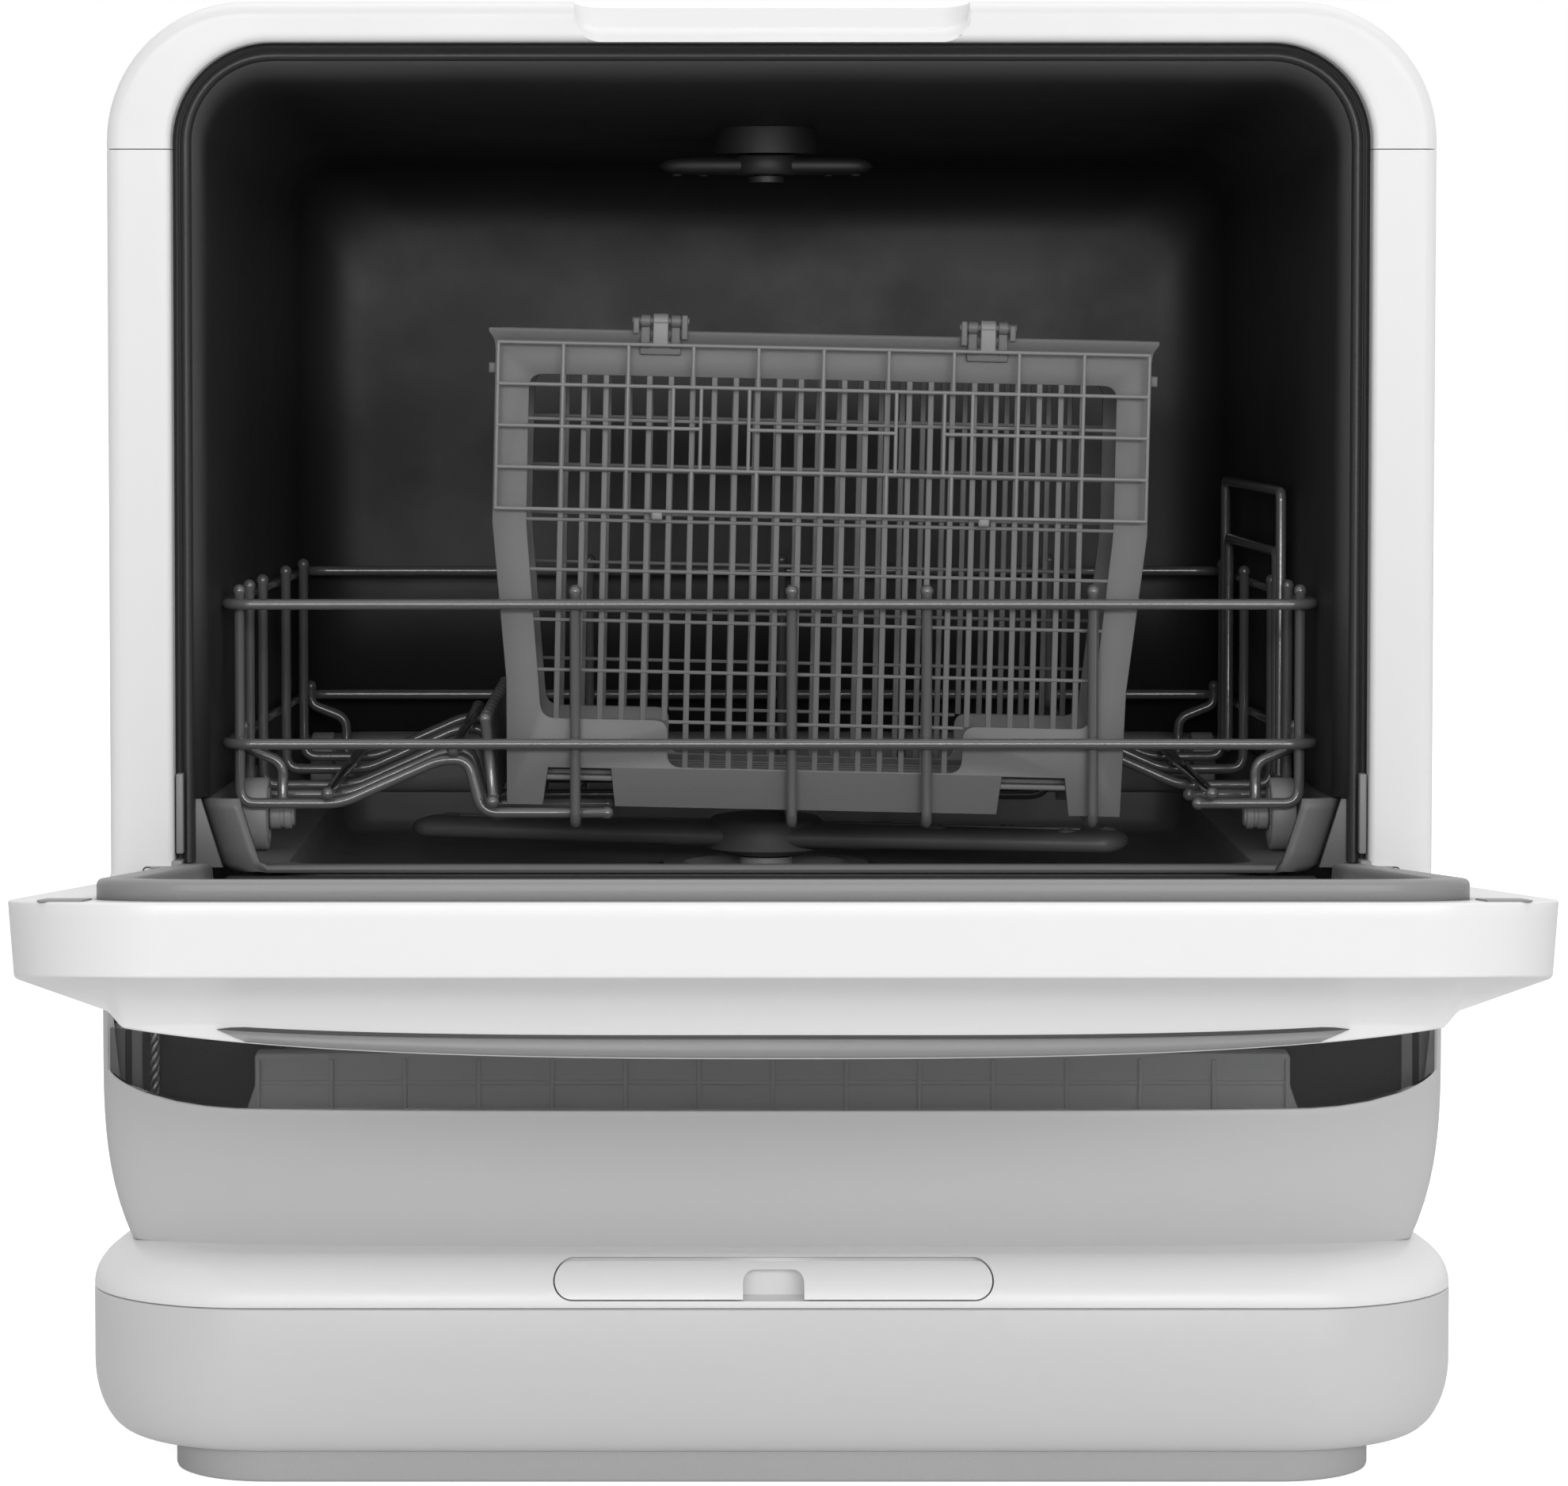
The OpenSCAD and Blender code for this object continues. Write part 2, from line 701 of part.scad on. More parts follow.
module door_liner() {
    rim_y = inner_face_y + rim_h;
    land = 10.7;
    r = opening_r - 3;
    z0 = hinge_z + 12;
    color("gray") at_open() {
        difference() {
            union() {
                along_y(inner_face_y + eps, rim_y) arch(liner_w, z0, liner_top, r);
                along_y(rim_y - dish_t - tub_t, inner_face_y + 1) arch(liner_w - 2 * land + 2 * tub_t, z0,
                    liner_top - land + tub_t, r - land + tub_t);
            }
            along_y(rim_y - dish_t, rim_y + 5) arch(liner_w - 2 * land, 0, liner_top - land, r - land);
            along_y(inner_face_y - 1, rim_y - tub_t) difference() {
                arch(liner_w - 2 * tub_t, z0 + tub_t, liner_top - tub_t, r - tub_t);
                arch(liner_w - 2 * land + 2 * tub_t, 0, liner_top - land + tub_t, r - land + tub_t);
            }
        }
        difference() {
            rod(-liner_w / 2 + land + 0.5, liner_w / 2 - land - 0.5, hinge_y, hinge_z, 10.5);
            rod(-liner_w / 2, liner_w / 2, hinge_y, hinge_z, 8);
        }
        translate([-liner_w / 2 + land + 0.5, rim_y - dish_t - tub_t, hinge_z + 9.2])
            cube([liner_w - 2 * land - 1, tub_t, 3.5]);
    }
}

// Grey crescent on the ledge of the grip.
module door_grip() {
    n = 20;
    half = grip_w / 2;
    z = step_z;
    full = inner_face_y - front_t;
    bow = [for (i = [0:n]) let (x = mix(-half, half, i / n), u = abs(x) / half_w)
        [x, full + (front_t - front_edge_t) * (1 - (1 - u ^ 3) ^ (1 / 3)) + 0.4]];
    back = [for (i = [n:-1:0]) let (x = mix(-half, half, i / n), u = x / half)
        [x, bow[i].y + 0.6 + 6 * (1 - u ^ 2)]];
    color("darkgray") at_open() translate([0, 0, z + touch_gap / 3]) linear_extrude(1.6)
        polygon(concat(bow, back));
}

module door_tabs() {
    color("gainsboro") at_open() mirrored() translate([liner_w / 2 + touch_gap, inner_face_y, body_top - 34])
        cube([12, 0.5, 22]);
}

// ---------- parts inside the body ----------

tank_half = 161;
tank_top = 126;
tank_front = 10 - front_t - body_front;
tank_neck_t = 8.5;
tank_step_z = 98;

module water_tank() {
    color([0.35, 0.35, 0.36, 0.9]) {
        along_y(tank_front + 1, tank_front + tank_neck_t) polygon([[-tank_half, tank_step_z],
            [tank_half, tank_step_z], [tank_half, tank_top - 3], [tank_half - 3, tank_top],
            [3 - tank_half, tank_top], [-tank_half, tank_top - 3]]);
        translate([-tank_half, tank_front + tank_neck_t - 1.5, base_top_z])
            cube([2 * tank_half, 34, tank_step_z - base_top_z + 3]);
        for (i = [0:ribs]) {
            translate([mix(-tank_half + 1, tank_half - 2.6, i / ribs), tank_front, tank_step_z])
                cube([1.6, 1.2, tank_top - tank_step_z - 3]);
        }
    }
}

module level_hose() {
    color("silver") {
        translate([-189.5, -175.8, base_top_z + 7]) cylinder(h = 54, r = 1.6);
        translate([-191, -174.2, base_top_z]) cube([3, 3, 12]);
    }
}

post_r = 9;

module sump() {
    color([0.2, 0.2, 0.2]) difference() {
        union() {
            translate([0, 0, 104]) cylinder(h = floor_z - tub_t - 104 - 0.1, r = sump_r + 6);
            translate([0, 0, 104]) cylinder(h = floor_z - 104 + 0.5, r = sump_r);
        }
        translate([0, 0, 110]) cylinder(h = 90, r = sump_r - 3);
    }
}

module filter_cup() {
    color("gray") difference() {
        translate([0, 0, 132]) cylinder(h = 37.5, r = 30);
        translate([0, 0, 134]) cylinder(h = 40, r = 28);
        translate([0, 0, 130]) cylinder(h = 40, r = post_r + touch_gap);
        for (i = [0:11]) {
            rotate([0, 0, i * 30]) translate([20, -3, 140]) cube([20, 6, 22]);
        }
    }
    color("gray") difference() {
        translate([0, 0, 168.5]) cylinder(h = 1.4, r = sump_r - 3.3);
        translate([0, 0, 168]) cylinder(h = 4, r = 28);
    }
}

module lower_arm_post() {
    color("gray") {
        translate([0, 0, 110]) cylinder(h = 62, r = post_r);
        translate([0, 0, 171]) cylinder(h = 12, r = 5);
    }
}

module wash_pump() {
    color("darkslategray") {
        rod(60, 130, 60, 104, 26);
        rod(48, 61, 60, 104, 14);
        translate([70, 40, base_top_z]) cube([50, 40, 12]);
    }
}

module drain_pump() {
    color("dimgray") {
        rod(-110, -60, 80, 96, 18);
        translate([-105, 68, base_top_z]) cube([38, 24, 10]);
    }
}

module heater() {
    color("silver") {
        translate([70, -60, base_top_z + 30]) rotate([-90, 0, 0]) cylinder(h = 80, r = 17);
        translate([60, -40, base_top_z]) cube([20, 20, 20]);
    }
}

module riser_pipe() {
    y = tub_back_y + tub_t + 9;
    color("gray") {
        translate([0, y, 110]) cylinder(h = body_top - 16 - 110, r = 7);
        translate([0, 0, body_top - 20]) rotate([-90, 0, 0]) cylinder(h = y, r = 6);
        translate([0, sump_r + 6.1, 118]) rotate([-90, 0, 0]) cylinder(h = y - sump_r - 6.1, r = 7);
    }
}

fan_x = -70;

module drying_fan() {
    y = tub_back_y + tub_t + 0.3;
    color([0.15, 0.15, 0.15]) difference() {
        translate([fan_x - 39, y, 285]) cube([78, 30, 78]);
        translate([fan_x, y - 1, 324]) rotate([-90, 0, 0]) cylinder(h = 40, r = 35);
    }
}

module control_board() {
    color("darkgreen") {
        translate([-150, -60, base_top_z]) cube([70, 90, 5]);
        translate([-140, -50, base_top_z + 4.9]) cube([50, 60, 14]);
    }
}

module spigot(x, r, bore_r) {
    translate([x, body_back - 24, spigot_z]) rotate([-90, 0, 0]) difference() {
        union() {
            cylinder(h = 24.3, r = r - 0.6);
            translate([0, 0, 24.2]) cylinder(h = spigot_l - 0.2, r = r);
            cylinder(h = 24 - skin_t - touch_gap, r = r + 4);
        }
        translate([0, 0, -1]) cylinder(h = 60, r = bore_r);
    }
    translate([x - 4, body_back - 20, base_top_z]) cube([8, 14, spigot_z - base_top_z - r]);
}

module water_inlet() {
    color("silver") spigot(inlet_x, inlet_r, 8);
}

module drain_outlet() {
    color("dimgray") spigot(drain_x, drain_r, 6.5);
}

module power_inlet() {
    color([0.1, 0.1, 0.1]) {
        difference() {
            translate([power_x - 13.5, body_back - 26, spigot_z - 10]) cube([27, 27.5, 20]);
            translate([power_x - 11, body_back - 16, spigot_z - 7.5]) cube([22, 30, 15]);
        }
        translate([power_x - 5, body_back - 24, base_top_z]) cube([10, 14, spigot_z - base_top_z - 9.9]);
        for (x = [-7, 0, 7]) {
            translate([power_x + x - 1, body_back - 17, spigot_z - 2]) cube([2, 13, 4]);
        }
    }
}

ceiling_z = mix(tub_top, tub_back_top, -flange_y / (tub_back_y - flange_y));
upper_arm_z = ceiling_z - 14;

module upper_arm_boss() {
    color([0.1, 0.1, 0.1]) {
        translate([0, 0, upper_arm_z + 4]) cylinder(h = ceiling_z - upper_arm_z - 4 - 1.2, r = 17);
        translate([0, 0, upper_arm_z - 4]) cylinder(h = 9, r = 4);
        translate([0, 0, upper_arm_z - 5.5]) cylinder(h = 2, r = 6);
    }
}

module upper_spray_arm() {
    color([0.1, 0.1, 0.1]) difference() {
        union() {
            translate([-upper_arm_r, -7, upper_arm_z - 3]) cube([2 * upper_arm_r, 14, 6]);
            translate([0, 0, upper_arm_z - 3]) cylinder(h = 6.5, r = 11);
        }
        translate([0, 0, upper_arm_z - 9]) cylinder(h = 20, r = 4 + run_gap);
    }
}

lower_arm_z = 175;

module lower_spray_arm() {
    w_hub = 34;
    w_tip = 24;
    tall = 9;
    color("dimgray") rotate([0, 0, lower_arm_turn]) difference() {
        union() {
            translate([0, 0, lower_arm_z]) linear_extrude(tall) polygon([[-lower_arm_r, -w_tip / 2],
                [0, -w_hub / 2], [lower_arm_r, -w_tip / 2], [lower_arm_r, w_tip / 2], [0, w_hub / 2],
                [-lower_arm_r, w_tip / 2]]);
            translate([0, 0, 173]) cylinder(h = 14, r = 20);
        }
        translate([0, 0, 160]) cylinder(h = 40, r = 5 + run_gap);
    }
}

// ---------- rack ----------

function rim_x(y) = mix(rack_w, rack_back_w, (y + rack_front) / (rack_back + rack_front)) / 2;
function rim_path(z) = bent_loop([[-rack_w / 2, -rack_front, z], [rack_w / 2, -rack_front, z],
    [rack_back_w / 2, rack_back, z], [-rack_back_w / 2, rack_back, z]], 10);

module rack_upper_rim() {
    color("silver") wire(rim_path(upper_rim_z), [0, 0, 1], true);
}

module rack_lower_rim() {
    color("silver") wire(rim_path(lower_rim_z), [0, 0, 1], true);
}

loop_xs = [-62, 7, 50, 103];
front_cross_ys = [-105, -72];
cross_ys = [-36, 30, 84];
stub_x = 52;
rail_x = 141;
tine_x = -88.5;
wire_top = upper_rim_z + 4;
hump_x = 101;
hump_w = 9;
hump_z = 213;
trough_x = 137;

module rack_floor_wires() {
    y0 = wire_d - rack_front;
    y1 = rack_back - wire_d;
    color("silver") for (x = loop_xs) {
        wire(bent([[x, y0, wire_top], [x, y0, floor_wire_z], [x, y1, floor_wire_z], [x, y1, wire_top]], 4),
             [1, 0, 0]);
    }
}

function post_x(y) = rim_x(y) - wire_d - (y < 10 - rack_front ? 1 : 0.15);
function side_post(y) = [[post_x(y), wire_top], [post_x(y), cross_wire_z + 3], [trough_x, cross_wire_z + 3]];

module rack_cross_wires() {
    hump = [[hump_x + hump_w / 2, hump_z], [hump_x - hump_w / 2, hump_z], [hump_x - hump_w, cross_wire_z]];
    color("silver") {
        for (y = cross_ys) {
            half = concat(side_post(y), hump);
            wire(bent([for (p = concat(half, [for (q = flip(half)) [-q.x, q.y]])) [p.x, y, p.y]], 5),
                 [0, 1, 0]);
        }
        for (y = front_cross_ys) {
            left = concat(side_post(y), hump, [[stub_x, cross_wire_z]]);
            wire(bent([for (p = left) [-p.x, y, p.y]], 5), [0, 1, 0]);
            wire(bent([for (p = side_post(y)) [p.x, y, p.y]], 5), [0, 1, 0]);
        }
    }
}

module rack_side_rails() {
    back = cross_ys[2] + 5;
    front = front_cross_ys[0] - 4;
    color("silver") {
        mirrored() wire([[rail_x, front, cross_wire_z + 3 + wire_d],
                         [rail_x, back, cross_wire_z + 3 + wire_d]],
                        [1, 0, 0]);
        wire([[-hump_x, front, hump_z + wire_d], [-hump_x, back, hump_z + wire_d]], [1, 0, 0]);
        wire([[hump_x, cross_ys[0] - 3, hump_z + wire_d], [hump_x, back, hump_z + wire_d]], [1, 0, 0]);
    }
}

module rack_tines() {
    z = cross_wire_z + wire_d + 0.4;
    color("silver") {
        wire([[tine_x, front_cross_ys[0] - 4, z], [tine_x, cross_ys[2] + 5, z]], [1, 0, 0]);
        for (y = [front_cross_ys[0] + 4:16:cross_ys[2] - 4]) {
            wire([[tine_x, y, z + wire_r], [tine_x - 2.5, y, z + 26]], [0, 1, 0]);
        }
    }
}

fence_ys = [-56, 78];

module rack_fence() {
    for (tier = [[fence_z, 0], [fence_z - 20, 9]]) {
        y0 = fence_ys[0] + tier[1];
        y1 = fence_ys[1] - tier[1];
        color("silver") wire(bent([[post_x(y0), y0, cross_wire_z + 8], [post_x(y0), y0, tier[0]],
            [post_x(y1), y1, tier[0]], [post_x(y1), y1, cross_wire_z + 8]], 3), [1, 0, 0]);
    }
}

hub_w = 8;
hub_r = 4.9;

module rack_axle_wires() {
    color("silver") mirrored() for (w = [[wheel_front_x, wheel_front_y], [wheel_back_x, wheel_back_y]]) {
        x = w[0] - wheel_t / 2 - hub_w / 2 - touch_gap;
        post = post_x(w[1]);
        wire(bent([[post, w[1], lower_rim_z + 4], [post, w[1], 216], [x, w[1], 211],
            [x, w[1], wheel_z + hub_r + 0.2]], 4), [0, 1, 0]);
    }
}

module wheel_hubs() {
    color("gray") mirrored() for (w = [[wheel_front_x, wheel_front_y], [wheel_back_x, wheel_back_y]]) {
        x = w[0] - wheel_t / 2;
        rod(x - hub_w - touch_gap, x - touch_gap, w[1], wheel_z, hub_r);
        rod(x - 1, w[0] + wheel_t / 2 - 0.5, w[1], wheel_z, axle_r);
    }
}

module wheel(x, y) {
    color("gray") translate([x - wheel_t / 2, y, wheel_z]) rotate([0, 90, 0]) difference() {
        cylinder(h = wheel_t, r = wheel_r - 0.1);
        translate([0, 0, -1]) cylinder(h = wheel_t + 2, r = axle_r + run_gap);
    }
}

// ---------- mesh basket, drawn upright and leaned ----------

wall_t = 1.8;
basket_z = floor_wire_z + wire_r + touch_gap + (loop_xs[3] + 6 - basket_x) * sin(basket_roll);

module leaned() {
    translate([basket_x, 0, basket_z]) rotate([0, basket_roll, 0]) children();
}

module basket_outline(inset) {
    polygon([[-basket_foot_w / 2 + inset, inset], [basket_foot_w / 2 - inset, inset],
             [basket_foot_w / 2 + 1 - inset, 40],
             [basket_w / 2 - inset, 90], [basket_w / 2 - inset, basket_h],
             [-basket_w / 2 + inset, basket_h], [-basket_w / 2 + inset, 90],
             [-basket_foot_w / 2 - 1 + inset, 40]]);
}

window_x = 88;
window_z0 = 30;
window_z1 = basket_h - 18;
deep_x = 46;
deep_z0 = 16;

module basket_window(g) {
    translate([-window_x + g, window_z0 + g]) square([2 * (window_x - g), window_z1 - window_z0 - 2 * g]);
    translate([-deep_x + g, deep_z0 + g]) square([2 * (deep_x - g), window_z0 - deep_z0]);
}

module basket_shell() {
    y0 = -basket_front;
    y1 = y0 + basket_d;
    color("gray") leaned() difference() {
        along_y(y0, y1) basket_outline(0);
        along_y(y0 + wall_t, y1 - wall_t) translate([0, wall_t + 6])
            basket_outline(wall_t);
        for (x = [-75, 70]) {
            translate([x - 11.5, y0 - 1, -1]) cube([23, basket_d + 2, 13]);
        }
        along_y(y0 - 1, y0 + wall_t + 1) basket_window(0);
        along_y(y1 - wall_t - 1, y1 + 1) basket_window(0);
    }
}

bars = 24;
grid_rows = [0.06, 0.22, 0.39, 0.56, 0.73, 0.9];

module grid(y) {
    pitch = 2 * window_x / bars;
    color("gray") leaned() along_y(y, y + wall_t) {
        difference() {
            basket_window(0);
            for (i = [0:bars - 1], j = [0:len(grid_rows)]) {
                x = -window_x + i * pitch + 0.75;
                low = abs(x + pitch / 2) < deep_x ? deep_z0 : window_z0;
                za = j == 0 ? low : mix(low, window_z1, grid_rows[j - 1]);
                zb = j == len(grid_rows) ? window_z1 : mix(low, window_z1, grid_rows[j]);
                translate([x, za + 0.7]) square([pitch - 1.5, zb - za - 1.4]);
            }
        }
    }
}

module basket_front_grid() {
    grid(-basket_front);
}

module basket_rear_grid() {
    grid(-basket_front + basket_d - wall_t);
}

lid_axis_y = -basket_front - 2.6;
lid_axis_z = basket_h + 2.2;
lid_hinge_xs = [-52, 52];
lid_pin_r = 1.2;

module basket_hinges() {
    color("gray") leaned() for (x = lid_hinge_xs) {
        for (dx = [-7.5, 4.5]) {
            difference() {
                union() {
                    translate([x + dx, lid_axis_y, lid_axis_z - 2.2]) cube([3, wall_t + 2.5, 2.1]);
                    rod(x + dx, x + dx + 3, lid_axis_y, lid_axis_z, 2.1);
                }
                translate([x + dx - 1, -basket_front - 0.05, lid_axis_z - 5]) cube([5, 9, 2.85]);
            }
        }
        rod(x - 7.5, x + 7.5, lid_axis_y, lid_axis_z, lid_pin_r);
    }
}

module basket_lid() {
    w = 208;
    cols = 10;
    rows = 4;
    bar = 1.6;
    y0 = lid_axis_y - lid_t;
    top = lid_axis_z - 7;
    color("gray") leaned() {
        difference() {
            translate([-w / 2, y0 - 0.3, top - lid_h]) cube([w, bar, lid_h]);
            for (i = [0:cols - 1], j = [0:rows - 1]) {
                translate([-w / 2 + bar / 2 + i * (w - bar) / cols + bar / 2, y0 - 2,
                           top - lid_h + bar / 2 + j * (lid_h - bar) / rows + bar / 2])
                    cube([(w - bar) / cols - bar, 6, (lid_h - bar) / rows - bar]);
            }
        }
        for (x = lid_hinge_xs) {
            difference() {
                union() {
                    rod(x - 3.9, x + 3.9, lid_axis_y, lid_axis_z, 2.4);
                    translate([x - 3.9, y0 - 0.3, top - 1]) cube([7.8, 1.6, 8]);
                }
                rod(x - 5, x + 5, lid_axis_y, lid_axis_z, lid_pin_r + run_gap);
            }
        }
    }
}

foot();
base_tray();
base_cover();
lower_front_panel();
lower_window();
mirror([1, 0, 0]) side_panel();  // side_panel_left
side_panel();  // side_panel_right
top_cover();
back_panel();
back_screws();
tub_upper();
tub_lower();
tub_gasket();
sill_seal();
mirror([1, 0, 0]) hinge_bracket();  // hinge_bracket_left
hinge_bracket();  // hinge_bracket_right
water_tank();
level_hose();
sump();
filter_cup();
wash_pump();
drain_pump();
heater();
riser_pipe();
drying_fan();
control_board();
water_inlet();
drain_outlet();
power_inlet();
upper_arm_boss();
lower_arm_post();
service_flap();
door_shell();
door_liner();
door_grip();
door_tabs();
mirror([1, 0, 0]) door_hinge();  // door_hinge_left
door_hinge();  // door_hinge_right
rack_upper_rim();
rack_lower_rim();
rack_floor_wires();
rack_cross_wires();
rack_side_rails();
rack_tines();
rack_fence();
rack_axle_wires();
wheel_hubs();
wheel(-wheel_front_x, wheel_front_y);  // wheel_front_left
wheel(wheel_front_x, wheel_front_y);  // wheel_front_right
wheel(-wheel_back_x, wheel_back_y);  // wheel_back_left
wheel(wheel_back_x, wheel_back_y);  // wheel_back_right
lower_spray_arm();
upper_spray_arm();
basket_shell();
basket_front_grid();
basket_rear_grid();
basket_hinges();
basket_lid();
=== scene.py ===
"""Countertop dishwasher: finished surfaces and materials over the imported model, in its frame and in metres."""

import bpy
import bmesh
import numpy as np
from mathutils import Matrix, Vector


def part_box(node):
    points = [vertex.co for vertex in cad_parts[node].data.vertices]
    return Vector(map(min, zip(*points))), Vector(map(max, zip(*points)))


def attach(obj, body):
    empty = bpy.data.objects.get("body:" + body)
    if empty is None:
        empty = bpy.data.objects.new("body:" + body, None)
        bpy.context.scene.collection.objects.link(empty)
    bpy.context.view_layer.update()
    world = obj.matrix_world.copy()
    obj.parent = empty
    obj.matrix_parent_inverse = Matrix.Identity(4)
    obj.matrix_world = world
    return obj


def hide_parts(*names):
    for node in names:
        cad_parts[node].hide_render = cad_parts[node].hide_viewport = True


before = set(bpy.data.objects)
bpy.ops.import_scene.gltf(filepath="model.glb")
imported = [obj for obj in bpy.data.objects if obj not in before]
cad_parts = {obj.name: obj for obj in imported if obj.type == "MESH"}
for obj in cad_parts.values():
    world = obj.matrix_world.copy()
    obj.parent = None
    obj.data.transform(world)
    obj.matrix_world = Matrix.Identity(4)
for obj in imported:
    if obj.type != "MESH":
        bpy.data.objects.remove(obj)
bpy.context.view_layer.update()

bl_info = {
    "name": "Countertop dishwasher",
    "version": (1, 0, 0),
    "blender": (4, 5, 0),
    "location": "View3D > Sidebar > Dishwasher",
    "description": "Builds the finished surfaces of a countertop dishwasher",
    "category": "Add Mesh",
}

MM = 0.001
MERGE, SLIVER = 2e-6, 1e-7  # metres: points closer than this are one, and shorter edges go

# ---------- fixed measures of the model, in millimetres ----------

# Casing: half width, top, front, back, wall, corner radius, seam under the top cover, and half a seam's gap
HALF, TOP, FRONT, BACK = 206.0, 451.5, -152.0, 212.0
SKIN, CORNER, SEAM, GAP = 2.5, 43.0, 406.0, 0.15
# Opening: half width, top and corner radius; depth of the flange behind it
OPEN_HALF, OPEN_TOP, OPEN_R, FLANGE = 186.0, 439.0, 31.0, -142.0
# Front of the panel and the door: depth at the crown and at the edges
CROWN_T, EDGE_T = 42.5, 19.5
# Base: half width, half depth, corner radius, top, seam, shoulder's radius; how far the casing draws in above it, and
# over what height
BASE_X, BASE_Y, BASE_R = 210.0, 214.0, 50.0
BASE_TOP, BASE_SEAM, SHOULDER_R, BEND, BEND_H = 70.5, 55.7, 14.5, 8.5, 60.0
# Foot: half width and half depth
FOOT_X, FOOT_Y = 184, 200
# Service flap: height, its middle's height, and where its pegs stand
FLAP_H, FLAP_Z, PEG_X, PEG_Y = 10.8, 63.9, 48, -210.5
# Lower window: its foot in the middle, and its top
WINDOW_FOOT, WINDOW_TOP = 113.0, 136.5
# Tub: half width and ceiling at the mouth and at the back wall, depth of the back wall, its round, where the hood
# meets the basin, and the pit's floor
TUB_HALF, TUB_TOP, TUB_BACK, TUB_ROUND = (178.0, 167.0), (429.0, 409.0), 140.0, 24.0
TUB_SEAM, PIT_Z = 204.0, 168.0
# Wall of the sheet-like pieces, in metres
SHEET = 0.0022
# Door: hinge axis, turn when open in degrees, inner face, ledge over the grip, spread of its side wall, end of the
# slope above the ledge, and the ledge's height in the middle and how much less it is at the grip's ends
HINGE_Y, HINGE_Z, OPEN_TURN = -163.4, 169.0, 85.3
DOOR_FACE, GRIP_Z, DRAFT, SLOPE_END = -152.6, 409.5, 1.6, 444.5
LEDGE_H, LEDGE_LOSS = 6.2, 2.4
# Rack: front and back, half width there, rims, wires' top, floor wires, hump, wheels as (x, y) and their height
RACK_Y, RACK_X, RIMS, WIRE_TOP = (-112.0, 122.0), (174.0, 164.5), (("upper", 263.0), ("lower", 218.5)), 267.0
RACK_FLOOR, HUMP, WHEEL_AT, WHEEL_Z = 192.5, 213, ((165, -90), (157, 106)), 194.35
# Basket: place in the rack, lean in degrees, front, depth, half width, top of its walls, and its hinges' places
BASKET_X, BASKET_Z, BASKET_LEAN = 14.0, 196.606, 1.24
BASKET_FRONT, BASKET_DEPTH, BASKET_HALF, BASKET_TOP, LUG_X = -105.0, 62, 104.5, 146, 52
# Spray arms: the lower arm's height. Connections at the back: inlet, drain and their height
ARM_Z, INLET_X, DRAIN_X, PIPE_Z = 179.5, 150, 110, 96


# ---------- points and faces ----------


class Form:
    """Points and faces of one piece, gathered patch by patch in millimetres."""

    def __init__(self):
        self.points, self.faces, self.count = [], [], 0

    def grid(self, p, wrap_u=False, wrap_v=False):
        """Four-sided faces between the neighbours of a grid of points. A wrapped way joins its last row to its
        first."""
        rows, cols = p.shape[:2]
        index = np.arange(rows * cols).reshape(rows, cols) + self.count
        self.points.append(p.reshape(-1, 3))
        self.count += rows * cols
        full = np.vstack([index, index[:1]]) if wrap_u else index
        full = np.hstack([full, full[:, :1]]) if wrap_v else full
        quads = np.stack([full[:-1, :-1], full[1:, :-1], full[1:, 1:], full[:-1, 1:]], -1)
        self.faces.append(quads.reshape(-1, 4))
        return index

    def face(self, indices):
        """One flat face through the given points, in order."""
        self.faces.append(np.asarray(indices).reshape(1, -1))

    def add(self, other, move=None):
        """Adds another form, its points passed through move."""
        if other.count:
            p = np.vstack(other.points)
            self.points.append(move(p) if move else p)
            self.faces += [f + self.count for f in other.faces]
            self.count += other.count
        return self

    def both_sides(self, other):
        """Adds another form and its mirror image across the middle plane."""
        self.add(other)
        return self.add(other, mirrored)

    def mesh(self, name):
        """A Blender mesh in metres, doubles merged, faces outwards."""
        data = bpy.data.meshes.new(name)
        p = np.vstack(self.points) * MM
        loops = np.concatenate([f.ravel() for f in self.faces])
        totals = np.concatenate([np.full(len(f), f.shape[1]) for f in self.faces])
        starts = np.concatenate([[0], np.cumsum(totals)[:-1]])
        data.vertices.add(len(p))
        data.vertices.foreach_set("co", p.ravel())
        data.loops.add(len(loops))
        data.loops.foreach_set("vertex_index", loops.astype(np.int32))
        data.polygons.add(len(totals))
        data.polygons.foreach_set("loop_start", starts.astype(np.int32))
        data.update(calc_edges=True)
        data.validate()
        work = bmesh.new()
        work.from_mesh(data)
        bmesh.ops.remove_doubles(work, verts=work.verts, dist=MERGE)
        bmesh.ops.dissolve_degenerate(work, edges=work.edges, dist=SLIVER)
        bmesh.ops.recalc_face_normals(work, faces=work.faces)
        work.to_mesh(data)
        work.free()
        return data


def place_object(name, data):
    """Object in the scene that holds the given data."""
    made = bpy.data.objects.new(name, data)
    bpy.context.scene.collection.objects.link(made)
    return made


def finish_piece(name, form, finish, stands_for=None, body="housing", sharp=38, modifiers=()):
    """Turns a form, or a ready mesh, into a piece: smooth but for edges sharper than the given angle, riding its body,
    in the named finish and in place of a CAD node."""
    data = form.mesh(name) if isinstance(form, Form) else form
    data.name = name
    data.shade_smooth()
    data.set_sharp_from_angle(angle=np.radians(sharp))
    piece = place_object(name, data)
    data.materials.clear()
    data.materials.append(material_of(finish))
    for kind, values in modifiers:
        added = piece.modifiers.new(kind.title(), kind)
        for key, value in values.items():
            setattr(added, key, value)
    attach(piece, body)
    if stands_for:
        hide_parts(stands_for)


def dress(finish, *names):
    """Gives CAD nodes that stay in view their finish."""
    for name in names:
        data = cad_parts[name].data
        data.materials.clear()
        data.materials.append(material_of(finish))


# ---------- curves and surfaces that several pieces share ----------


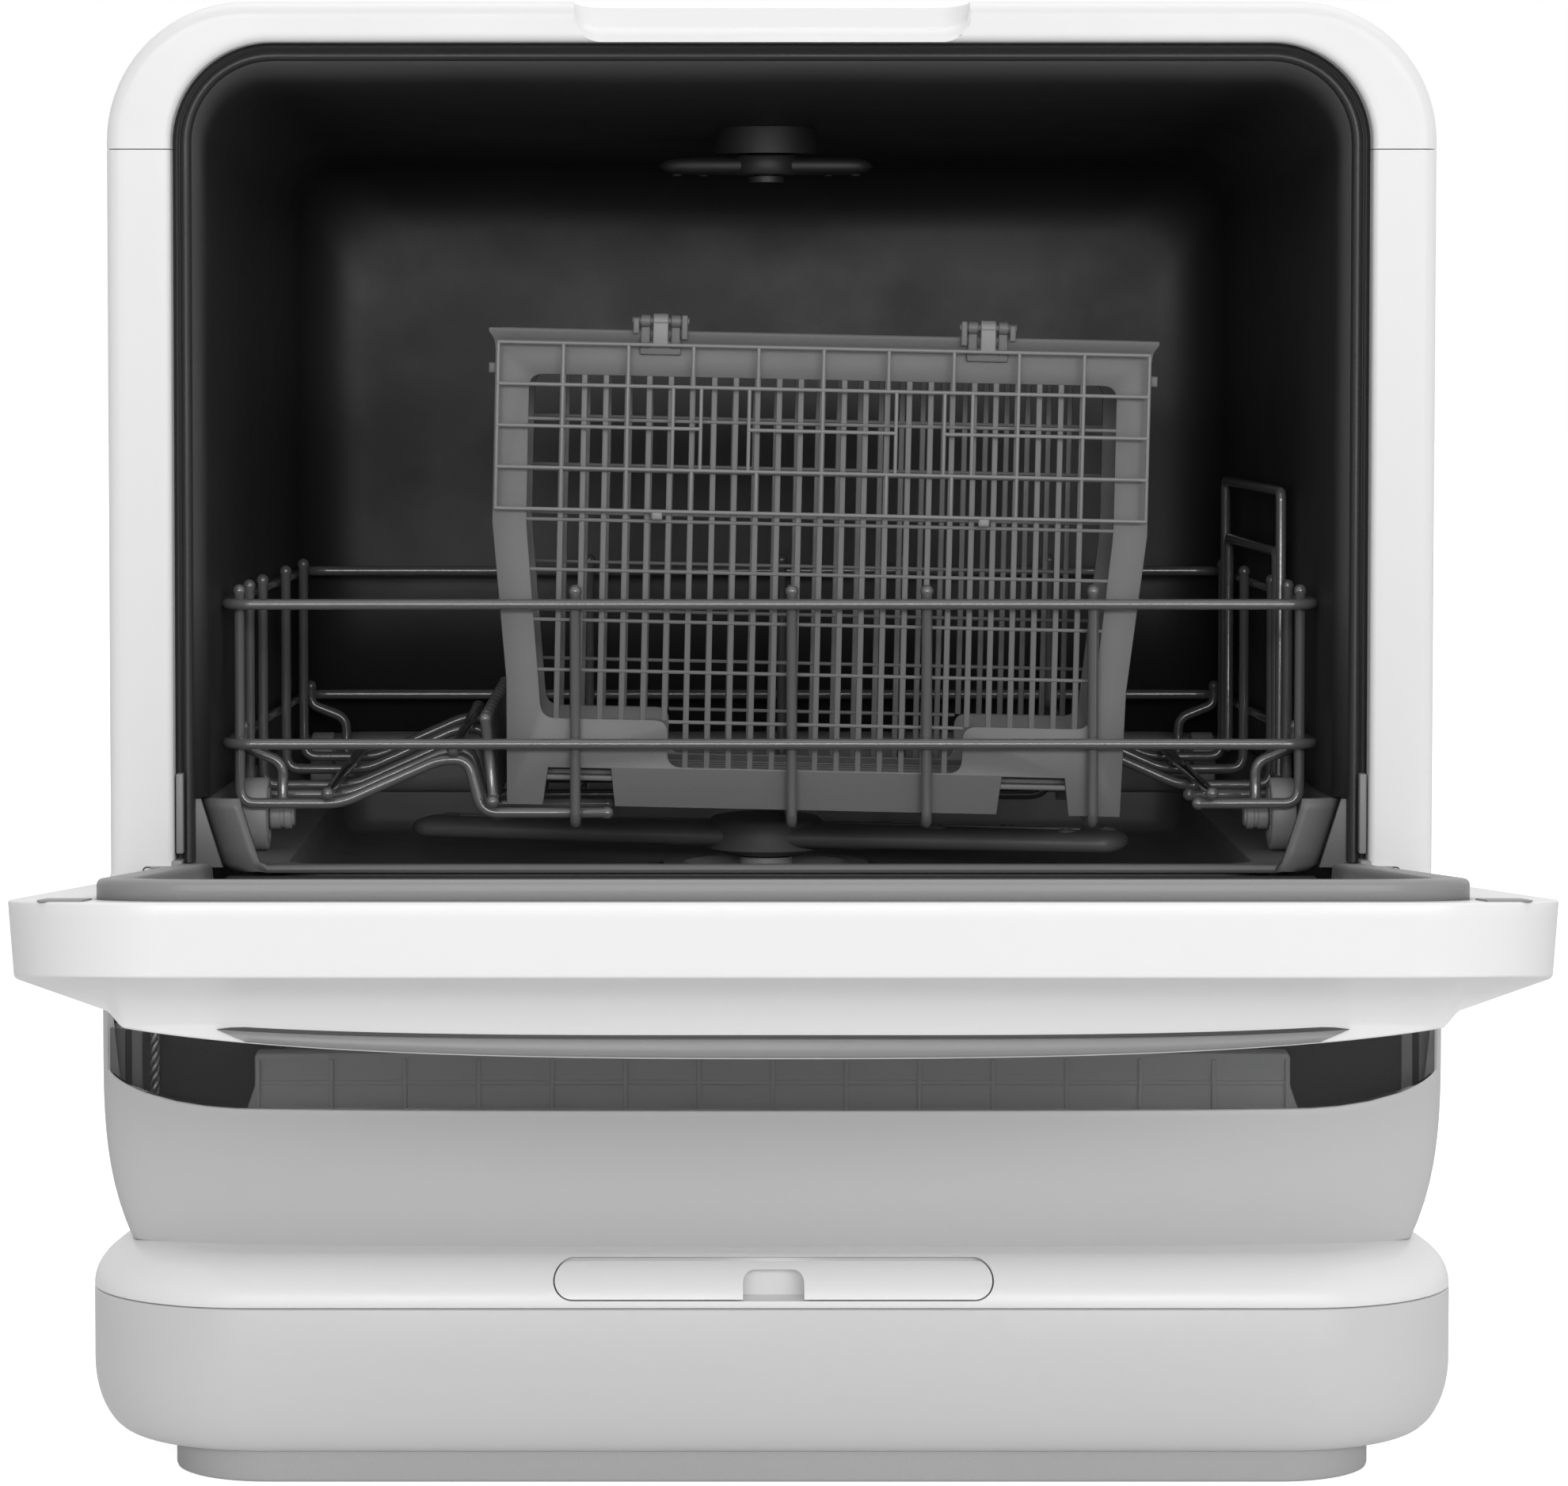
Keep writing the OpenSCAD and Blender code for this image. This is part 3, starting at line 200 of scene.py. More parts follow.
def unit(v):
    """Vectors divided by their own lengths."""
    return v / np.maximum(np.linalg.norm(v, axis=-1, keepdims=True), 1e-9)


def mix(a, b, t):
    """Straight line from a to b as t goes from 0 to 1."""
    return a + (b - a) * t


def smooth(t):
    """Smooth step from 0 to 1: 3t^2 - 2t^3."""
    t = np.clip(t, 0, 1)
    return t * t * (3 - 2 * t)


def to_mm(value):
    """A length in metres as millimetres."""
    return value / MM


def mirrored(p):
    """Points reflected across the middle plane."""
    return p * (-1, 1, 1)


def full_turn(count):
    """Cosine and sine at evenly spaced angles round a circle."""
    a = np.linspace(0, 2 * np.pi, count, endpoint=False)
    return np.cos(a), np.sin(a)


def turned(a, b, degrees):
    """Coordinates a and b turned by an angle in their plane."""
    c, n = np.cos(np.radians(degrees)), np.sin(np.radians(degrees))
    return a * c - b * n, a * n + b * c


def upright(outline, y):
    """Points of an outline in X and Z, stood up at a depth."""
    o = np.asarray(outline, float)
    return np.stack([o[:, 0], np.full(len(o), float(y)), o[:, 1]], -1)


def level(outline, z):
    """Points of an outline in X and Y, laid at a height."""
    o = np.asarray(outline, float)
    return np.hstack([o, np.full((len(o), 1), float(z))])


def swept(sections, turn_round=False):
    """Closed solid through a grid of points: each section is a closed loop, and the first and the last are filled."""
    form = Form()
    index = form.grid(np.asarray(sections), wrap_v=True)
    form.face(index[0][::-1] if turn_round else index[0])
    form.face(index[-1] if turn_round else index[-1][::-1])
    return form


def rounded_path(points, reach, steps=7, closed=False):
    """Each corner b becomes the curve b + u*c*(1-t)^2 + w*c*t^2, where u and w point to its neighbours and c is how far
    the curve reaches along them: the parabola tangent to both legs."""
    p = np.asarray(points, float)
    n = len(p)
    t = np.linspace(0, 1, steps)[:, None]
    out = [] if closed else [p[:1]]
    for i in range(n) if closed else range(1, n - 1):
        a, b, c = p[i - 1], p[i], p[(i + 1) % n]
        near = min(reach, 0.45 * np.linalg.norm(a - b), 0.45 * np.linalg.norm(c - b))
        out.append(b + unit(a - b) * near * (1 - t) ** 2 + unit(c - b) * near * t ** 2)
    if not closed:
        out.append(p[-1:])
    return np.vstack(out)


def tube(path, plane, radius, sides=12, closed=False, ball=0.0):
    """Circle carried along a path that lies in one plane. The path's tangent is the unit sum of the directions to and
    from its neighbours, one side vector is the plane's normal and the other is their cross product. An end is a ball of
    the given radius: the circle's radius there is sqrt(ball^2 - s^2), with s the distance from the ball's centre."""
    p, plane = np.asarray(path, float), np.asarray(plane, float)
    r = np.full(len(p), float(radius))
    if not closed:
        ball = max(ball, radius)
        turn = np.linspace(-np.arccos(radius / ball) if ball > radius else 0, np.pi / 2, 7)
        along, across = ball * np.sin(turn), ball * np.cos(turn)
        across[-1] = 0.0
        first = p[0] + unit(p[0] - p[1]) * along[:, None]
        last = p[-1] + unit(p[-1] - p[-2]) * along[:, None]
        p = np.vstack([first[::-1], p[1:-1], last])
        r = np.concatenate([across[::-1], r[1:-1], across])
    ahead = unit(np.roll(p, -1, 0) - p)
    behind = unit(p - np.roll(p, 1, 0))
    if not closed:
        ahead[-1], behind[0] = behind[-1], ahead[0]
    tangent = unit(ahead + behind)
    side = unit(plane - tangent * (tangent @ plane)[:, None])
    other = np.cross(tangent, side)
    c, n = (v[None, :, None] for v in full_turn(sides))
    form = Form()
    form.grid(p[:, None] + r[:, None, None] * (c * side[:, None] + n * other[:, None]), wrap_u=closed, wrap_v=True)
    return form


def lathe(profile, centre, axis, sides=48, closed=False):
    """Profile of (distance along the axis, radius) turned through a full circle about the axis through centre."""
    axis = unit(np.asarray(axis, float))
    side = unit(np.cross(axis, (0.3, 1, 0.2) if abs(axis[1]) < 0.9 else (1, 0, 0.2)))
    q = np.asarray(profile, float)
    c, n = (v[None, :, None] for v in full_turn(sides))
    ring = c * side + n * np.cross(axis, side)
    form = Form()
    form.grid(np.asarray(centre, float) + q[:, 0, None, None] * axis + q[:, 1, None, None] * ring, closed, True)
    return form


def soft_box(low, high, radius=0.6):
    """Box with rounded edges: a unit sphere's grid, its directions pushed out to the box's corners and its own radius
    laid on top, so that every edge is a quarter circle."""
    low, high = np.asarray(low, float), np.asarray(high, float)
    radius = min(radius, (high - low).min() / 2 * 0.99)
    angle = np.concatenate([np.linspace(0, 90, 5) + 90 * q for q in range(4)]) + 1e-4
    rise = np.concatenate([np.linspace(-90, 0, 5), np.linspace(0, 90, 5)])
    u, v = np.radians(angle)[None, :], np.radians(rise)[:, None]
    ball = np.stack([np.cos(v) * np.cos(u), np.cos(v) * np.sin(u), np.sin(v) + 0 * u], -1)
    quarter = np.repeat(np.arange(4), 5)
    sx = np.where((quarter == 0) | (quarter == 3), 1, -1)
    sy = np.where(quarter < 2, 1, -1)
    sz = np.repeat([-1, 1], 5)
    corner = np.stack(np.broadcast_arrays(sx[None, :], sy[None, :], sz[:, None]), -1)
    return swept((low + high) / 2 + corner * ((high - low) / 2 - radius) + ball * radius, True)


def fit_all(forms):
    """One form out of several."""
    whole = Form()
    for form in forms:
        whole.add(form)
    return whole


def settled_mesh(holder, *tools):
    """Mesh of an object with its modifiers or curve worked out; the object and its tools are removed."""
    result = bpy.data.meshes.new_from_object(holder.evaluated_get(bpy.context.evaluated_depsgraph_get()))
    for used in (holder, *tools):
        spare = used.data
        bpy.data.objects.remove(used)
        (bpy.data.curves if isinstance(spare, bpy.types.Curve) else bpy.data.meshes).remove(spare)
    return result


def plate(outlines, low, high, edge=0.3):
    """Flat upright plate with holes: the first outline is its rim and the others are holes, filled between and given a
    thickness from low to high, with a round of the given size on every edge."""
    curve = bpy.data.curves.new("plate", "CURVE")
    curve.dimensions = "2D"
    curve.fill_mode = "BOTH"
    curve.resolution_u = 1
    edge = min(edge, (high - low) / 2 * 0.98)
    curve.bevel_depth = edge
    curve.bevel_resolution = 1
    curve.offset = -edge
    curve.extrude = (high - low) / 2 - edge
    for outline in outlines:
        spline = curve.splines.new("POLY")
        spline.points.add(len(outline) - 1)
        spline.points.foreach_set("co", np.hstack([level(outline, 0), np.ones((len(outline), 1))]).ravel())
        spline.use_cyclic_u = True
    data = settled_mesh(place_object("plate", curve))
    p = np.zeros(len(data.vertices) * 3)
    data.vertices.foreach_get("co", p)
    form = Form()
    form.points.append((p.reshape(-1, 3) + (0, 0, (low + high) / 2))[:, (0, 2, 1)])
    form.faces = [np.array([tuple(f.vertices)]) for f in data.polygons]
    form.count = len(data.vertices)
    bpy.data.meshes.remove(data)
    return form


def carve(form, *steps):
    """Mesh of a form after taking away, or keeping only what lies in, each of the other forms."""
    target = place_object("carve", form.mesh("carve"))
    tools = []
    for kind, cutter in steps:
        tools.append(place_object("tool", cutter.mesh("tool")))
        step = target.modifiers.new("step", "BOOLEAN")
        step.object, step.operation, step.solver = tools[-1], kind, "EXACT"
    bpy.context.view_layer.update()
    return settled_mesh(target, *tools)


def prism(outline, y0, y1):
    """Straight-sided solid of an outline in X and Z between two depths."""
    return swept([upright(outline, y) for y in (y0, y1)], True)


def rounded_rect(x0, x1, z0, z1, r, steps=5):
    """Outline of a rectangle whose corners are quarter circles of radius r."""
    a = np.radians(np.linspace(0, 90, steps))
    c, s = r * np.cos(a), r * np.sin(a)
    corners = [(x1 - r + c, z1 - r + s), (x0 + r - s, z1 - r + c), (x0 + r - c, z0 + r - s), (x1 - r + s, z0 + r - c)]
    return np.vstack([np.stack(corner, -1) for corner in corners])


def pill(width, height, z):
    """Outline of a slot with half-round ends, centred on x = 0."""
    return rounded_rect(-width / 2, width / 2, z - height / 2, z + height / 2, height / 2 - 0.001, 20)


def arch(half, top, r, foot, rises=2, steps=12, across=None):
    """Points (x, z) and outward normals of an upright arch: up the left side, round a quarter circle, along the top,
    round again and down."""
    across = np.linspace(-1, 1, 9) if across is None else across
    a = np.radians(np.linspace(180, 90, steps))
    rise = np.linspace(foot, top - r, rises)[:-1]
    left = np.stack([np.full(len(rise), -half), rise], -1)
    left_n = np.tile([-1.0, 0.0], (len(rise), 1))
    turn = np.stack([r - half + r * np.cos(a), top - r + r * np.sin(a)], -1)
    turn_n = np.stack([np.cos(a), np.sin(a)], -1)
    flat = np.stack([across * (half - r), np.full(len(across), top)], -1)[1:-1]
    flat_n = np.tile([0.0, 1.0], (len(flat), 1))

    def whole(up, corner, middle):
        """Left side, its corner and the middle, then the corner and the side mirrored."""
        return np.vstack([up, corner, middle, corner[::-1] * (-1, 1), up[::-1] * (-1, 1)])

    return whole(left, turn, flat), whole(left_n, turn_n, flat_n)


def crown_half():
    """Places p along a quarter of the superellipse p^3 + q^3 = 1, evenly spaced in p near the middle and in q near the
    side, where the curve turns fastest."""
    change = 0.93
    q = np.linspace((1 - change ** 3) ** (1 / 3), 0, 18)[1:]
    return np.concatenate([np.linspace(0, change, 22), (1 - q ** 3) ** (1 / 3)])


def panel_bend(z):
    """How far the body's foot draws in: a cube of the height left below the bend's top."""
    return BEND * np.clip(1 - (z - BASE_TOP) / BEND_H, 0, None) ** 3


def round_off(distance, r):
    """Drop of a surface at a distance d from its edge, for a quarter-round edge: r - sqrt(r^2 - (r - d)^2)."""
    d = np.clip(r - distance, 0, r)
    return r - np.sqrt(np.maximum(r * r - d * d, 0))


def opened(p):
    """Turns points of the shut door about its hinge to where it stands open."""
    y, z = turned(p[:, 1] - HINGE_Y, p[:, 2] - HINGE_Z, OPEN_TURN)
    return np.stack([p[:, 0], HINGE_Y + y, HINGE_Z + z], -1)


def leaned(p):
    """Moves points of the upright basket to where it leans in the rack."""
    x, z = turned(p[:, 0], p[:, 2], -BASKET_LEAN)
    return np.stack([BASKET_X + x, p[:, 1], BASKET_Z + z], -1)


# ---------- finishes ----------

# Each finish: the record's slot, the material's name, its colour as a property or a fixed value, and for moulded
# plastic its roughness, grain in metres, depth of the grain, drift of the tone, edge wear, dust, unevenness and coat.
FINISHES = {
    "white": ("white_shell", "White casing", "casing", 0.3, 0.0004, 0.03, 0.02, 0.05, 0.03, 0.08),
    # pale: the base's paler white, darkened further as painted shade of the open door above the base
    "pale": ("pale_base", "Pale base", "base", 0.34, 0.0004, 0.03, 0.02, 0.05, 0.03, 0.08),
    # panel: a darker copy of the base's white, painted shade of the open door over the lower panel
    "panel": ("pale_base", "Pale panel", "panel", 0.34, 0.0004, 0.03, 0.02, 0.05, 0.03, 0.08),
    "ear": ("grey_tub", "Ear grey", "ear", 0.4, 0.0005, 0.05, 0.06, 0.2, 0.1, 0.1),
    "foot": ("grey_foot", "Foot grey", "foot", 0.6, 0.0007, 0.12, 0.06, 0.2, 0.1, 0.1),
    "hood": ("black_tub", "Tub black", "tub", 0.46, 0.0005, 0.05, 0.12, 0.35, 0.02, 0.14),
    "basin": ("grey_tub", "Tub grey", "basin", 0.42, 0.0005, 0.06, 0.1, 0.35, 0.1, 0.12),
    "rubber": ("seal_rubber", "Seal rubber", "seal", 0.38, 0.0006, 0.1, 0.15, 0.1, 0.1, 0.15),
    "liner": ("liner_grey", "Liner grey", "liner", 0.4, 0.0005, 0.06, 0.06, 0.2, 0.1, 0.1),
    "grip": ("grip_grey", "Grip grey", "grip", 0.36, 0.0004, 0.05, 0.05, 0.2, 0.1, 0.1),
    "part": ("mid_grey_plastic", "Part grey", "part", 0.45, 0.0005, 0.08, 0.08, 0.3, 0.1, 0.1),
    "basket": ("basket_grey", "Basket grey", "basket", 0.42, 0.0005, 0.08, 0.06, 0.3, 0.1, 0.1),
    # lid: the basket's grey made lighter, painted light on the bars that hang in front; it is one plastic with the
    # basket
    "lid": ("basket_grey", "Lid grey", "lid", 0.36, 0.0005, 0.08, 0.06, 0.3, 0.1, 0.1),
    "wire": ("coated_wire", "Coated wire", "wire", 0.13, 0.0012, 0.05, 0.08, 0.2, 0.1, 0.12, 0.8),
    "tank": ("tank_grey", "Tank grey", "tank", 0.4, 0.0006, 0.05, 0.06, 0.2, 0.1, 0.1),
    "dark": ("dark_plastic", "Dark part", (0.03, 0.03, 0.032), 0.5, 0.0006, 0.1, 0.15, 0.3, 0.1, 0.1),
    "board": ("circuit_board", "Circuit board", (0.03, 0.12, 0.06), 0.35, 0.0008, 0.08, 0.2, 0.1, 0.1, 0.1),
    "steel": ("steel", "Steel", "steel"),
    "window": ("smoked_window", "Smoked pane", "window"),
}
MADE = {}


def group(name, inputs, outputs):
    """Empty shader node group with float inputs, as (name, default), and float outputs."""
    tree = bpy.data.node_groups.new(name, "ShaderNodeTree")
    for label, default in inputs:
        tree.interface.new_socket(label, in_out="INPUT", socket_type="NodeSocketFloat").default_value = default
    for label in outputs:
        tree.interface.new_socket(label, in_out="OUTPUT", socket_type="NodeSocketFloat")
    return tree, tree.nodes.new("NodeGroupInput"), tree.nodes.new("NodeGroupOutput")


def node(tree, kind, links=(), fixed=(), **values):
    """Adds a node, sets its properties and sockets, and links (own socket, other node, its socket)."""
    made = tree.nodes.new("ShaderNode" + kind)
    for key, value in values.items():
        if hasattr(made, key):
            setattr(made, key, value)
        else:
            made.inputs[key.replace("_", " ")].default_value = value
    for key, value in dict(fixed).items():
        made.inputs[key].default_value = value
    for own, other, socket in links:
        tree.links.new(other.outputs[socket], made.inputs[own])
    return made


def put_out(tree, out, **sources):
    """Links a group's outputs to the first socket of each source."""
    for label, source in sources.items():
        tree.links.new(source.outputs[0], out.inputs[label])


def noise(tree, place, scale, detail, rough=0.5):
    """Noise over the piece's own coordinates. Its scale is a number, or a node whose first socket gives it."""
    links, values = [("Vector", place, "Object")], {"Detail": detail, "Roughness": rough}
    if isinstance(scale, float):
        values["Scale"] = scale
    else:
        links.append(("Scale", scale, 0))
    return node(tree, "TexNoise", links, **values)


def times(tree, a, b, **values):
    """Product of two sockets, each given as a node and a socket."""
    return node(tree, "Math", [(0, *a), (1, *b)], operation="MULTIPLY", **values)


def moulded_surface():
    """Fine spark-eroded grain of moulded plastic, with slow handling marks. Grain is its size in metres."""
    tree, given, out = group("Moulded surface", [("Grain", 0.0006), ("Unevenness", 1.0)], ["Height", "Smudge", "Tone"])
    place = node(tree, "TexCoord")
    per = node(tree, "Math", [(1, given, "Grain")], {0: 1.0}, operation="DIVIDE")
    fine = noise(tree, place, per, 2.0, 0.6)
    cells = node(tree, "TexVoronoi", [("Vector", place, "Object"), ("Scale", per, 0)], Randomness=1.0)
    height = node(tree, "Math", [(0, fine, 0), (1, cells, 0), (2, fine, 0)], operation="MULTIPLY_ADD")
    slow = noise(tree, place, 14.0, 4.0, 0.62)
    spread = node(tree, "MapRange", [("Value", slow, 0)], From_Min=0.38, From_Max=0.66)
    marks = times(tree, (spread, 0), (given, "Unevenness"))
    put_out(tree, out, Height=height, Smudge=marks, Tone=noise(tree, place, 4.5, 1.0))
    return tree


def edge_wear():
    """Mask of rubbed edges: where the surface bends outwards, broken up by a small noise."""
    tree, given, out = group("Edge wear", [("Amount", 0.5)], ["Mask"])
    bend = node(tree, "NewGeometry")
    edge = node(tree, "MapRange", [("Value", bend, "Pointiness")], From_Min=0.53, From_Max=0.64)
    broken = times(tree, (edge, 0), (noise(tree, node(tree, "TexCoord"), 420.0, 3.0, 0.7), 0))
    put_out(tree, out, Mask=times(tree, (broken, 0), (given, "Amount"), use_clamp=True))
    return tree


def settled_dust():
    """Mask of the dust that settles on surfaces that face up."""
    tree, given, out = group("Settled dust", [("Amount", 0.3)], ["Mask"])
    parts = node(tree, "SeparateXYZ", [(0, node(tree, "NewGeometry"), "Normal")])
    up = node(tree, "MapRange", [("Value", parts, "Z")], From_Min=0.55, From_Max=1.0)
    some = times(tree, (up, 0), (noise(tree, node(tree, "TexCoord"), 60.0, 5.0, 0.7), 0))
    put_out(tree, out, Mask=times(tree, (some, 0), (given, "Amount"), use_clamp=True))
    return tree


def brushed_lines():
    """Fine scratches of brushed metal that run along X: a noise squeezed hard the other two ways."""
    tree, given, out = group("Brushed lines", [("Density", 900.0)], ["Height"])
    stretch = node(tree, "Mapping", [("Vector", node(tree, "TexCoord"), "Object")], {"Scale": (0.03, 1.0, 1.0)})
    lines = node(tree, "TexNoise", [("Vector", stretch, 0), ("Scale", given, "Density")], Detail=3.0)
    put_out(tree, out, Height=lines)
    return tree


def shared(tree, maker, **values):
    """Places a shared group, which is made the first time, with its own values."""
    if maker not in MADE:
        MADE[maker] = maker()
    placed = node(tree, "Group", node_tree=MADE[maker])
    for key, value in values.items():
        placed.inputs[key].default_value = value
    return placed


def blend(tree, low, high, mask, socket):
    """Mixes two colours by a mask. The lower one is a fixed colour or another mix."""
    mixed = node(tree, "Mix", [("Factor", mask, socket)], data_type="RGBA")
    if isinstance(low, tuple):
        mixed.inputs[6].default_value = (*low, 1.0)
    else:
        tree.links.new(low.outputs["Result"], mixed.inputs[6])
    mixed.inputs[7].default_value = (*high, 1.0)
    return mixed


def new_material(name):
    """Material with nodes, its tree and its shader."""
    material = bpy.data.materials.new(name)
    material.use_nodes = True
    return material, material.node_tree, material.node_tree.nodes["Principled BSDF"]


def set_surface(tree, shader, tone, gloss, rough, uneven, relief, depth, distance, **values):
    """Links the colour, the roughness as rough + uneven * gloss, and the relief as a bump, and sets plain values."""
    tree.links.new(tone.outputs["Result"], shader.inputs["Base Color"])
    shine = node(tree, "Math", [(0, *gloss)], {1: uneven, 2: rough}, operation="MULTIPLY_ADD")
    tree.links.new(shine.outputs[0], shader.inputs["Roughness"])
    bump = node(tree, "Bump", [("Height", relief, "Height")], Strength=depth, Distance=distance)
    tree.links.new(bump.outputs["Normal"], shader.inputs["Normal"])
    for key, value in values.items():
        shader.inputs[key.replace("_", " ")].default_value = value


def moulded_plastic(name, colour, rough, grain, depth, vary, wear, dust, uneven, coat=0.0):
    """Moulded or coated surface: a tone that drifts slowly, paler rubbed edges, a little dust on top, roughness that
    follows the handling marks, and the grain as a bump."""
    material, tree, shader = new_material(name)
    skin = shared(tree, moulded_surface, Grain=grain)
    tone = blend(tree, tuple(c * (1 - vary) for c in colour), colour, skin, "Tone")
    paler = tuple(min(1.0, c * 1.25 + 0.03) for c in colour)
    edged = blend(tree, tone, paler, shared(tree, edge_wear, Amount=wear), "Mask")
    dusty = blend(tree, edged, tuple(mix(c, 0.5, 0.5) for c in colour), shared(tree, settled_dust, Amount=dust), "Mask")
    set_surface(tree, shader, dusty, (skin, "Smudge"), rough, uneven, skin, depth, grain, Coat_Weight=coat,
                Coat_Roughness=0.08)
    material.diffuse_color = (*colour, 1.0)
    return material


def brushed_metal(name, colour):
    """Brushed metal: scratches along X in the roughness and the bump."""
    material, tree, shader = new_material(name)
    lines = shared(tree, brushed_lines, Density=900.0)
    tone = blend(tree, tuple(c * 0.86 for c in colour), colour, shared(tree, moulded_surface, Grain=0.002), "Tone")
    set_surface(tree, shader, tone, (lines, "Height"), 0.3, 0.2, lines, 0.12, 0.0002, Metallic=1.0)
    return material


def smoked_plastic(name, colour):
    """Smoked clear plastic: light passes through and is tinted, with a faint waviness in its polish."""
    material, tree, shader = new_material(name)
    skin = shared(tree, moulded_surface, Grain=0.004)
    tone = blend(tree, tuple(c * 0.9 for c in colour), colour, skin, "Tone")
    set_surface(tree, shader, tone, (skin, "Smudge"), 0.03, 0.04, skin, 0.02, 0.0005, Transmission_Weight=1.0, IOR=1.3)
    return material


def material_of(finish):
    """Material of a finish, made the first time it is asked for."""
    if finish not in MADE:
        _, name, colour, *values = FINISHES[finish]
        if isinstance(colour, str):
            colour = getattr(bpy.context.scene.dishwasher_finishes, colour)
        maker = {"steel": brushed_metal, "window": smoked_plastic}.get(finish, moulded_plastic)
        MADE[finish] = maker(name, tuple(colour), *values)
    return MADE[finish]


# ---------- casing ----------


def dent_depth(x, y, width, depth):
    """Grip dent: deepest at the front edge, sloping up backwards at 13 degrees, with a quarter circle at each end."""
    floor = np.clip(depth - (y - FRONT) * np.tan(np.radians(13)), 0, None)
    end = width / 2 - np.abs(x)
    return np.where(end > 0, np.clip(floor - round_off(end, 8.0), 0, None), 0.0)


def casing_form(outer, inner, edge, dent=None):
    """Closed section carried along the casing's outline: the outer wall, the quarter round at its front, the front face
    across to the opening, a smaller round, the lip back to the flange, and the wall's inside. The outline and the
    opening's outline are each given as points and outward normals."""
    (o, on), (i, inn) = outer, inner
    r = edge * 0.5
    turn = np.radians(np.linspace(0, 90, 6))
    columns = [(o, y, 1.0) for y in [BACK - 0.6, *np.linspace(150, -96, 5), *np.linspace(-104, FRONT + edge + 0.4, 22)]]
    columns += [(o - on * edge * (1 - np.cos(a)), FRONT + edge * (1 - np.sin(a)), 1.0) for a in turn]
    columns += [(mix(o - on * edge, i + inn * r, t), FRONT, 1 - t) for t in np.linspace(0, 1, 8)[1:-1]]
    columns += [(i + inn * r * (1 - np.sin(a)), FRONT + r * (1 - np.cos(a)), 0.0) for a in turn]
    columns += [(i, FLANGE, 0), (i + inn * SKIN, FLANGE, 0), (i + inn * SKIN, FRONT + SKIN, 0),
                (o - on * SKIN, FRONT + SKIN, 0.7), (o - on * SKIN, BACK, 0), (o - on * 0.6, BACK, 0)]
    p = np.stack([upright(xz, y) for xz, y, _ in columns], 1)
    if dent:
        p[..., 2] -= dent_depth(p[..., 0], p[..., 1], *dent) * np.array([whole for _, _, whole in columns])
    return swept(p)


def casing_pieces(s):
    """Top cover and the two sides, each an upper wall round the opening over a lower wall that draws in."""
    edge, flat = to_mm(s.edge), HALF - CORNER
    near, far = np.linspace(48, 62, 18), np.linspace(66, flat, 8)
    across = np.concatenate([-far[::-1], -near[::-1], np.linspace(-44, 44, 9), near, far]) / flat
    outlines = [arch(*size, SEAM + GAP, steps=20, across=across)
                for size in ((HALF, TOP, CORNER), (OPEN_HALF, OPEN_TOP, OPEN_R))]
    cover = casing_form(*outlines, edge, (to_mm(s.dent_width), to_mm(s.dent_depth)))
    finish_piece("casing_top", cover, "white", "top_cover", sharp=50)
    z = np.array([180.6, 260.0, 330.0, SEAM - GAP])
    walls = [(np.stack([np.full(4, half), z], -1), np.tile([1.0, 0.0], (4, 1))) for half in (HALF, OPEN_HALF)]
    low = np.concatenate([[BASE_TOP - 1.0], BASE_TOP + BEND_H * np.linspace(0, 1, 16), [150.0, 180.7]])
    ys = np.concatenate([[BACK - 0.6], np.linspace(150, -151, 7), [-151.5, -151.7, -151.7, BACK, BACK]])
    inset = np.concatenate([np.zeros(8), [0.1, 0.5, SKIN, SKIN, 0.6]])
    x = (HALF - panel_bend(low))[:, None] - inset
    lower = swept(np.stack(np.broadcast_arrays(x, ys[None], low[:, None]), -1))
    right = fit_all([casing_form(*walls, edge), lower])
    finish_piece("casing_side_right", right, "white", "side_panel_right", sharp=50)
    finish_piece("casing_side_left", Form().add(right, mirrored), "white", "side_panel_left", sharp=50)


# ---------- lower front ----------


def window_foot(x):
    """Height of the window's lower edge: level in the middle, then a quarter ellipse up each side."""
    u = np.clip((np.abs(x) - 161) / 45, 0, 1)
    return WINDOW_FOOT + 15 * (1 - np.sqrt(1 - u * u))


def front_form(p, low, high, inset=0.0, edge=0.8, ends=True):
    """Wall that follows the crowned plan between two heights given for each place along it. Each section runs up the
    outside, over a small round, down the inside and back; the plan draws in below by the same bend as the casing. The
    wall thins to 0.3 of its thickness towards its ends, over a smooth step."""
    q = (1 - np.abs(p) ** 3) ** (1 / 3)
    rise = np.concatenate([np.linspace(0, 1, 15), [1, 1, 1, 1, 0]])
    drop = np.array([0] * 14 + [edge, edge * 0.3, 0, 0, edge, 0])
    inward = np.array([0] * 14 + [0, edge * 0.3, edge, SKIN - 0.5, SKIN, SKIN])
    z = mix(low[:, None], high[:, None], rise[None]) - drop[None]
    i = inset + inward[None] * (1 - 0.7 * smooth((np.abs(p[:, None]) - 0.9) / 0.09)) + panel_bend(z)
    x = (HALF - i) * p[:, None]
    y = FRONT - EDGE_T + i / 3 - (CROWN_T - EDGE_T - i / 3) * q[:, None]
    grid = np.stack([x, y, z], -1)
    if ends:
        grid = np.concatenate([grid[:1], grid, grid[-1:]])
        grid[0, :, 1] = grid[-1, :, 1] = FRONT
    return swept(grid)


